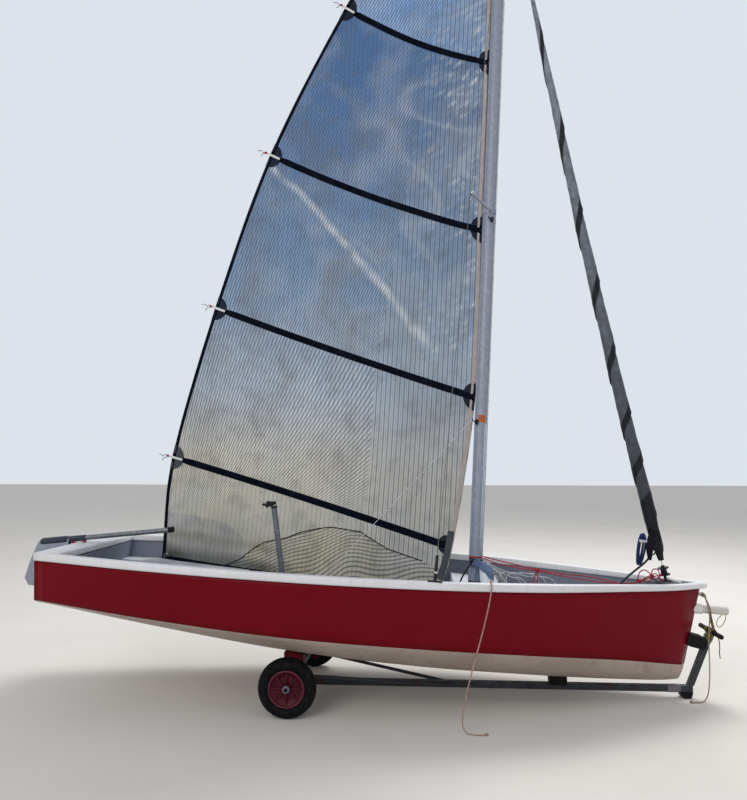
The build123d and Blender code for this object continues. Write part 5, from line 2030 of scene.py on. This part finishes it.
    def build_control_line(self) -> None:
        """Red purchase, its lead along the foredeck with its knots and eyes, and the black rod."""
        red = [swept(self.wound(702, 7, 2, 6), 0.0035)]
        red += [swept(eased(run), 0.0036) for run in self.control_runs]
        add_piece("red_control_line", red, RED_ROPE)
        knots = []
        for u, v, w, r in self.control_knots:
            path = [
                (u + r * math.cos(k * 1.1), v + r * 0.7 * math.sin(k * 1.1), w + r * math.sin(k * 0.7))
                for k in range(13)
            ]
            knots.append(eased(path, 3))
        add_lines("red_line_knots", knots, 0.0042, RED_ROPE)
        eyes = [slab(boat(u, v, 354), (0.034, 0.018, 0.006), 0.002) for u, v in self.eyes]
        add_piece("deck_eyes", eyes, STEEL)
        rod = eased(((2632, -122, 498), (2665, -96, 588), (2716, -46, 664)), 6)
        add_piece("control_rod", swept(rod, 0.006, 10), BLACK_NYLON)

    def heap_loop(self, k: int) -> Points:
        """One of the loose loops of thin line that lie in a heap by the mast's foot.

        Args:
            k: Number of the loop.

        Returns:
            The path.
        """
        u, v = 2872 + k * 37 % 82, -70 + k * 53 % 250
        wide, tall = 24 + k * 11 % 26, 45 + k * 17 % 44
        lean = 18 * math.sin(k * 2.1)
        path = []
        for step in range(13):
            turn = math.tau * step / 12 + k
            rise = (1 + math.sin(turn)) * tall * 0.72
            out = wide * math.cos(turn)
            ahead = u + out * math.cos(k) + lean * rise / 60
            path.append((ahead, v + out * math.sin(k) + 6 * math.sin(turn * 3), 499 + rise))
        return eased(path, 4)

    def build_thin_lines(self) -> None:
        """The heap of thin lines, their leads along the foredeck and the furler's rod."""
        white = [swept(self.heap_loop(k), 0.0028, 6) for k in range(18) if k % 3 != 1]
        white += [swept(eased(lead), 0.0026, 6) for lead in self.thin_leads]
        add_piece("thin_lines", white, WHITE_ROPE)
        add_lines("grey_lines", [self.heap_loop(k) for k in range(1, 18, 3)], 0.0028, GREY_ROPE, 6)
        stick = eased(((4000, -42, 678), (4040, -50, 668), (4088, -60, 656)), 4)
        add_piece("furler_rod", swept(stick, 0.0075, 12), WHITE_NYLON)

    def build_stays(self) -> None:
        """Silver straps on the shroud boots and the spreaders' end caps."""
        straps, caps = [], []
        for side in SIDES.values():
            foot, tip = (boat(u, side * v, w) for u, v, w in (self.boot_foot, self.spreader_tip))
            run = (tip - foot).normalized()
            straps.append(turned(self.strap, foot + run * 0.045, run, 18))
            caps.append(turned(self.spreader_cap, tip, PORT * side, 16))
            caps.append(slab(tip - PORT * side * 0.06 - UP * 0.02, (0.020, 0.012, 0.026), 0.003))
        add_piece("boot_straps", straps, STEEL)
        add_piece("spreader_caps", caps, STEEL)

    def build(self) -> None:
        """Builds every fitting of the rig."""
        self.build_mast_fittings()
        self.build_control_line()
        self.build_thin_lines()
        self.build_stays()


@dataclass
class SailBag:
    """Soft bag that stands by the mast: a white body under a blue flap.

    Rings are the height, the middle's u and v, and the radius, in millimetres. The flap's spine
    is u, v, w, half its width and half its thickness.
    """

    rings: Rows = (
        (495.6, 2842, -112, 44), (500, 2842, -112, 52), (520, 2842, -112, 58),
        (545, 2840, -111, 58), (565, 2838, -110, 56), (590, 2830, -106, 51),
        (610, 2822, -101, 46), (630, 2812, -95, 39), (648, 2802, -89, 31),
        (660, 2797, -86, 23), (668, 2794, -84, 12),
    )
    spine: Rows = (
        (2862, -122, 614, 40, 5), (2850, -117, 632, 54, 12), (2830, -108, 648, 55, 16),
        (2806, -96, 664, 48, 17), (2768, -80, 683, 36, 15), (2738, -66, 682, 26, 13),
        (2722, -62, 662, 20, 10),
    )
    tail: Rows = ((2770, -92, 676), (2756, -100, 640), (2748, -103, 596), (2748, -102, 552))
    base: float = 495.0

    def body(self) -> Shape:
        """The white body with its gathered folds.

        Returns:
            The shape.
        """
        points: Points = []
        rows, columns = 40, 56
        for r in range(rows + 1):
            w, u, v, radius = smooth_between(self.rings, (len(self.rings) - 1) * r / rows)
            for turn in around(columns):
                fold = 2.6 * math.sin(turn * 9 + w / 26) * min(1.0, (w - self.base) / 60)
                sag = 4.0 * noise.noise(Vector((math.cos(turn) * 1.6, math.sin(turn) * 1.6, w / 30)))
                reach = radius + fold + sag * min(1.0, (w - self.base) / 20)
                points.append(boat(u + reach * math.cos(turn), v + reach * math.sin(turn), w))
        return points, tube_faces(rows + 1, columns)

    def flap(self) -> list[Shape]:
        """The blue flap over its top, and the flap's hanging tail.

        Returns:
            The shapes.
        """
        points: Points = []
        rows, columns = 30, 28
        for r in range(rows + 1):
            u, v, w, wide, thick = smooth_between(self.spine, (len(self.spine) - 1) * r / rows)
            for k, turn in enumerate(around(columns)):
                across, lift = wide * math.cos(turn), thick * math.sin(turn)
                fold = 4.5 * math.sin(k * 1.35 + r * 0.45) + 2.5 * math.sin(r * 1.1 + k * 0.3)
                height = w + lift + fold - 0.42 * abs(across) ** 1.15
                points.append(boat(u + lift * 0.5, v + across, height))
        tail = eased(self.tail)
        narrowing = [0.016 - 0.0004 * k for k in range(len(tail))]
        return [(points, tube_faces(rows + 1, columns)), swept(tail, narrowing, 12, 0.5)]

    def build(self) -> None:
        """Builds the body and its flap."""
        body = add_piece("bag_body", self.body(), BAG_WHITE, stands_for="sail_bag")
        flap = add_piece("bag_flap", self.flap(), BAG_BLUE)


@dataclass
class HelmGear:
    """Small fittings of the tiller and of the mainsheet's post."""

    tiller_aft: Place = (-285, 0, 563)
    tiller_fore: Place = (615, 0, 716)
    sleeve: Rows = ((0.0, 0.0172), (0.003, 0.0205), (0.318, 0.0205), (0.322, 0.0172))
    plug: Rows = ((-0.010, 0.006), (-0.006, 0.014), (0.004, 0.0168))

    def along(self, share: float, off: float = 0.0) -> Vector:
        """Point beside the tiller's axis at a share of its length, so far above it."""
        aft, fore = boat(*self.tiller_aft), boat(*self.tiller_fore)
        return aft + (fore - aft) * share + UP * off * MM

    def build(self) -> None:
        """Grip sleeve, end plug and red line on the tiller; black fitting on the post."""
        aft = self.along(0.0)
        along = (self.along(1.0) - aft).normalized()
        axes = (along, PORT, along.cross(PORT))
        cover = slab(self.along(0.105), (0.20, 0.060, 0.048), 0.012, axes)
        grip, plug = turned(self.sleeve, aft, along), turned(self.plug, aft, along)
        add_piece("tiller_sleeve", [grip, cover], HEAD_SLEEVE, "steering")
        add_piece("tiller_plug", plug, BLACK_NYLON, "steering")
        line = [self.along(0.24 + 0.014 * k, -24 - 9 * math.sin(k * math.pi / 8)) for k in range(9)]
        add_lines("tiller_downhaul", [line], 0.0075, RED_ROPE, 10, "steering")
        jaws = [
            slab(boat(1318, 0, 958), (0.058, 0.030, 0.024), 0.005),
            slab(boat(1284, 0, 944), (0.046, 0.022, 0.016), 0.004),
        ]
        add_piece("sheet_jaws", jaws, BLACK_NYLON)


@dataclass
class Trolley:
    """Wheels' rim details, cradle pads, bow lashings and the drawbar's sleeve.

    Stops of lines are millimetres in the shared frame, those of the pole's loop in the boat.
    """

    axle: tuple[float, float] = (-0.4285, 0.178)
    track: float = 0.550
    rib_count: int = 8
    hub_cap: Rows = ((0.0425, 0.0235), (0.046, 0.0225), (0.050, 0.018), (0.052, 0.009))
    pad_u: tuple[float, float] = (1572, 1694)
    pad_v: tuple[float, float] = (330, 490)
    pad_floor: float = 0.300
    pad_points: int = 17
    post: tuple[Place, Place] = ((2.130, 0.0, 0.070), (2.273, 0.0, 0.412))
    grip: Place = (2.2789, 0.028, 0.4261)
    cross: Rows = ((2262, -26, 372), (2283, -32, 400), (2300, -34, 428), (2284, -36, 449))
    tail: Rows = (
        (2300, -22, 412), (2318, -26, 380), (2322, -28, 330), (2318, -30, 292), (2322, -31, 258),
    )
    loop: Rows = (
        (4396, -4, 464), (4398, -7, 440), (4382, -10, 404), (4356, -12, 384), (4340, -10, 402),
        (4352, -7, 440), (4378, -4, 464),
    )

    def hub(self, side: int) -> Vector:
        """Middle of a wheel: 1 to port, -1 to starboard."""
        return Vector((self.axle[0], side * self.track, self.axle[1]))

    def build_wheels(self) -> None:
        """Pale bead ring, ribs and grey hub cap on the outer face of each wheel."""
        for name, side in SIDES.items():
            body, out, hub = f"{name}_wheel", PORT * side, self.hub(side)
            bead = swept(coil(hub + out * 0.0385, 0.105, 64), 0.0042, 10)
            add_piece(f"{name}_bead", bead, RIM_WORN, body)
            ribs = []
            for turn in around(self.rib_count):
                along = WORLD_X * math.cos(turn) + WORLD_Z * math.sin(turn)
                middle = hub + along * 0.060 + out * 0.017
                ribs.append(slab(middle, (0.068, 0.010, 0.018), 0.002, (along, out.cross(along), out)))
            add_piece(f"{name}_ribs", ribs, RIM_RED, body)
            add_piece(f"{name}_hub_cap", turned(self.hub_cap, hub, out), RIM_GREY, body)

    def pad(self, hull: Hull, side: int) -> Shape:
        """Cushion of one side, which takes the hull's form.

        Args:
            hull: The hull that lies on it.
            side: 1 to port, -1 to starboard.

        Returns:
            The shape.
        """
        top: Points = []
        low: Points = []
        count = self.pad_points
        for i in range(count):
            for j in range(count):
                a, b = 2 * i / (count - 1) - 1, 2 * j / (count - 1) - 1
                edge = max(abs(a), abs(b))
                corner = edge / max((abs(a) ** 5 + abs(b) ** 5) ** 0.2, 1e-6)
                a, b = a * corner, b * corner
                u, v = (
                    sum(span) / 2 + share * (span[1] - span[0]) / 2
                    for span, share in ((self.pad_u, a), (self.pad_v, b))
                )
                touch = hull.under(u, side * v)
                fall = 0.016 * max(0.0, (edge - 0.6) / 0.4) ** 2
                dent = 0.0012 * abs(math.sin(a * 9)) * (1 - edge)
                top.append(Vector((touch.x, touch.y, touch.z - 0.0016 - fall - dent)))
                low.append(Vector((touch.x, touch.y, self.pad_floor + fall * 0.4)))
        cushion = shell(low, top, count, count)
        return cushion if side > 0 else inside_out(cushion)

    def build_pads(self, hull: Hull) -> None:
        """Red padded cushions between the trolley's posts and the hull, and their straps.

        Args:
            hull: The hull that they carry.
        """
        cushions, straps = [], []
        for side in SIDES.values():
            cushions.append(self.pad(hull, side))
            at = boat(self.pad_u[1] + 4, side * sum(self.pad_v) / 2, 0)
            at.z = self.pad_floor + 0.028
            straps.append(slab(at, (0.004, 0.12, 0.05), 0.0012, (WORLD_X, PORT, WORLD_Z)))
        pads = add_piece(
            "cradle_cushions", cushions, PAD_RED, stands_for="cradle_pads"
        )
        add_piece("cradle_straps", straps, BLACK_STRAP)

    def build_lashing(self) -> None:
        """Lashing of the handle, in olive line."""
        base, head = (Vector(place) for place in self.post)
        run = (head - base).normalized()
        across = run.cross(PORT)
        wound = []
        for k in range(5 * 16 + 1):
            turn = math.tau * k / 16
            reach = 0.0245 / max(abs(math.cos(turn)), abs(math.sin(turn)), 0.82)
            low = head - run * (0.052 - 0.0085 * k / 16)
            wound.append(low + (across * math.cos(turn) + PORT * math.sin(turn)) * reach)
        shapes = [swept(wound, 0.0038)]
        x, y, z = self.grip
        for side in SIDES.values():
            shapes.append(swept(coil(Vector((x, side * y, z)), 0.0195, 14, 3, side * 0.008), 0.0038))
        shapes.append(swept(eased(self.cross, 6, ground), 0.0038))
        shapes.append(swept(eased(self.tail, 8, ground), 0.0032))
        for k in range(3):
            strand = ((2246, -10 - 3 * k, 646), (2258 + 3 * k, -20 - 4 * k, 596),
                      (2266 + 5 * k, -27 - 3 * k, 520), (2280 + 5 * k, -30 - 2 * k, 446))
            shapes.append(swept(eased(strand, 8, ground), 0.0034))
        add_piece("handle_lashing", shapes, OLIVE_ROPE)

    def build_bow(self) -> None:
        """The handle's lashing, the eye's knot, the pole's loop and the drawbar's sleeve."""
        self.build_lashing()
        knot = []
        for k in range(12):
            ahead, across = 13 * math.cos(k * 1.05), 9 * math.sin(k * 1.05)
            knot.append((2240 + ahead, across - 9, 654 + 10 * math.sin(k * 0.75)))
        add_lines("eye_knot", [eased(knot, 4, ground)], 0.004, OLIVE_ROPE)
        add_lines("pole_loop", [eased(self.loop)], 0.0024, OLIVE_ROPE, body="bowsprit")
        sleeve = []
        for k in range(7):
            for turn in around(24, 0.5):
                reach = 0.0225 / max(abs(math.cos(turn)), abs(math.sin(turn)), 0.78)
                place = (1.985 + 0.085 * k / 6, reach * math.cos(turn), 0.058 + reach * math.sin(turn))
                sleeve.append(Vector(place))
        add_piece("drawbar_sleeve", (sleeve, tube_faces(7, 24)), RIM_GREY)

    def build(self, hull: Hull) -> None:
        """Builds all the trolley's details; the pads take the hull's form.

        Args:
            hull: The hull that it carries.
        """
        self.build_wheels()
        self.build_pads(hull)
        self.build_bow()


@dataclass
class Studio:
    """Camera, floor, backdrop and lamps.

    A lamp is its name, place, aim, size in metres and power in watts.
    """

    eye: Place = (0.3844, -4.951, 1.545)
    yaw: float = -0.066
    pitch: float = 0.084
    lens: float = 32.19
    floor_half: float = 40.0
    world_light: float = 0.67
    lamps: tuple[tuple[str, Place, Place, float, float], ...] = (
        ("overhead", (3.0, 4.5, 9.0), (0.0, 0.0, 0.6), 4.0, 620.0),
        ("front", (-3.5, -7.5, 5.0), (0.0, 0.0, 1.6), 5.0, 215.0),
    )

    def build_camera(self) -> None:
        """Camera at the photograph's place, looking slightly up."""
        data = bpy.data.cameras.new("camera")
        data.lens = self.lens
        data.sensor_width = 36.0
        camera = placed("camera", data)
        camera.location = self.eye
        camera.rotation_euler = (math.pi / 2 + self.pitch, 0.0, -self.yaw)
        bpy.context.scene.camera = camera
        log.info("camera at %s", self.eye)

    def build_floor(self) -> None:
        """Wide plain floor at the wheels' lowest point."""
        signs = ((-1, -1), (1, -1), (1, 1), (-1, 1))
        corners = [Vector((x, y, 0)) * self.floor_half for x, y in signs]
        mesh = mesh_of("floor", (corners, [(0, 1, 2, 3)]))
        mesh.materials.append(FLOOR_PALE.material())
        placed("floor", mesh)

    def build_world(self) -> None:
        """Even light from all round; the eye meets a pale backdrop there."""
        world = bpy.data.worlds.new("studio")
        bpy.context.scene.world = world
        world.use_nodes = True
        tree = world.node_tree
        tree.nodes.clear()
        ray = add_node(tree, "LightPath").outputs
        seen = ray["Is Camera Ray"]
        for kind in ("Is Transmission Ray", "Is Glossy Ray"):
            seen = add_node(tree, "Math", {0: seen, 1: ray[kind]}, operation="MAXIMUM")
        light, backdrop = (
            add_node(tree, "Background", {"Color": linear(colour), "Strength": strength})
            for colour, strength in (("#f1f4fb", self.world_light), ("#dde3ea", 1.0))
        )
        both = add_node(tree, "MixShader", {0: seen, 1: light, 2: backdrop})
        add_node(tree, "OutputWorld", {"Surface": both})

    def build_lamps(self) -> None:
        """Square soft boxes."""
        for name, place, aim, size, power in self.lamps:
            data = bpy.data.lights.new(name, "AREA")
            data.size = size
            data.energy = power
            lamp = placed(name, data)
            lamp.location = place
            lamp.rotation_euler = (Vector(aim) - Vector(place)).to_track_quat("-Z", "Y").to_euler()

    def build(self) -> None:
        """Builds the whole studio."""
        self.build_camera()
        self.build_floor()
        self.build_world()
        self.build_lamps()
        bpy.context.scene.view_settings.view_transform = "Standard"


def dress_boat(frame: dict, trolley: Trolley) -> None:
    """Gives every solid that stays its finish.

    Args:
        trolley: The trolley, for the middles of its tyres.
    """
    finishes: dict[Finish, Sequence[str]] = {
        HULL_RED: ("topside_port", "topside_starboard", "transom"),
        HULL_WHITE_IN_PAINTED_SHADE: ("hull_bottom",),
        RIM_WHITE: ("gunwale",),
        INNER_GELCOAT_IN_PAINTED_SHADE: ("inner_walls", "aft_tank"),
        DECK_GREY: (
            "side_tank_port", "side_tank_starboard", "cockpit_floor", "mast_thwart", "foredeck",
            "centreboard_case",
        ),
        BOW_GREY: ("bow_deck",),
        MAST_ALLOY_IN_PAINTED_SHADE: ("mast", "spreaders", "mast_step", "mast_head", "rudder_stock"),
        BOOM_ALLOY: ("boom", "tiller_extension"),
        GREY_TUBE: ("mainsheet_post", "tiller"),
        STEEL: ("gudgeons", "bow_eye"),
        WEATHERED_WIRE: ("shroud_port", "shroud_starboard", "forestay"),
        BLACK_NYLON: ("mainsheet_jammer", "boom_ends", "chainplates", "furler_drum", "rope_cleat"),
        WHITE_NYLON: ("centreboard", "pole_guide", "pole_bush"),
        POLE_WHITE: ("gennaker_pole",),
        BLACK_RUBBER: ("tiller_joint", "keel_rest", "bow_snubber", "tow_handle", "drawbar_foot"),
        RIM_RED: ("wheel_port", "wheel_starboard"),
        TROLLEY_STEEL_IN_PAINTED_SHADE: (
            "trolley_axle", "trolley_drawbar", "axle_bracket", "trolley_braces", "cradle_posts",
            "bow_post",
        ),
    }
    for name, side in SIDES.items():
        hub = (trolley.axle[0], side * trolley.track, trolley.axle[1])
        tyre = TyreRubber(f"{name} tyre rubber", "#08090c", 0.8, shine=0.15, hub=hub)
        finishes[tyre] = (f"tyre_{name}",)
    dress_nodes(frame, finishes)


def main() -> None:
    """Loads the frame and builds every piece."""
    logging.basicConfig(level=logging.INFO, format="%(name)s: %(message)s")
    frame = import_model()
    Studio().build()
    Ropes().build()
    trolley = Trolley()
    dress_boat(frame, trolley)
    hull = Hull()
    hull.build()
    for part in (MainSail(), FurledJib(), Rigging(), SailBag(), HelmGear()):
        part.build()
    trolley.build(hull)


if __name__ == "__main__":
    main()
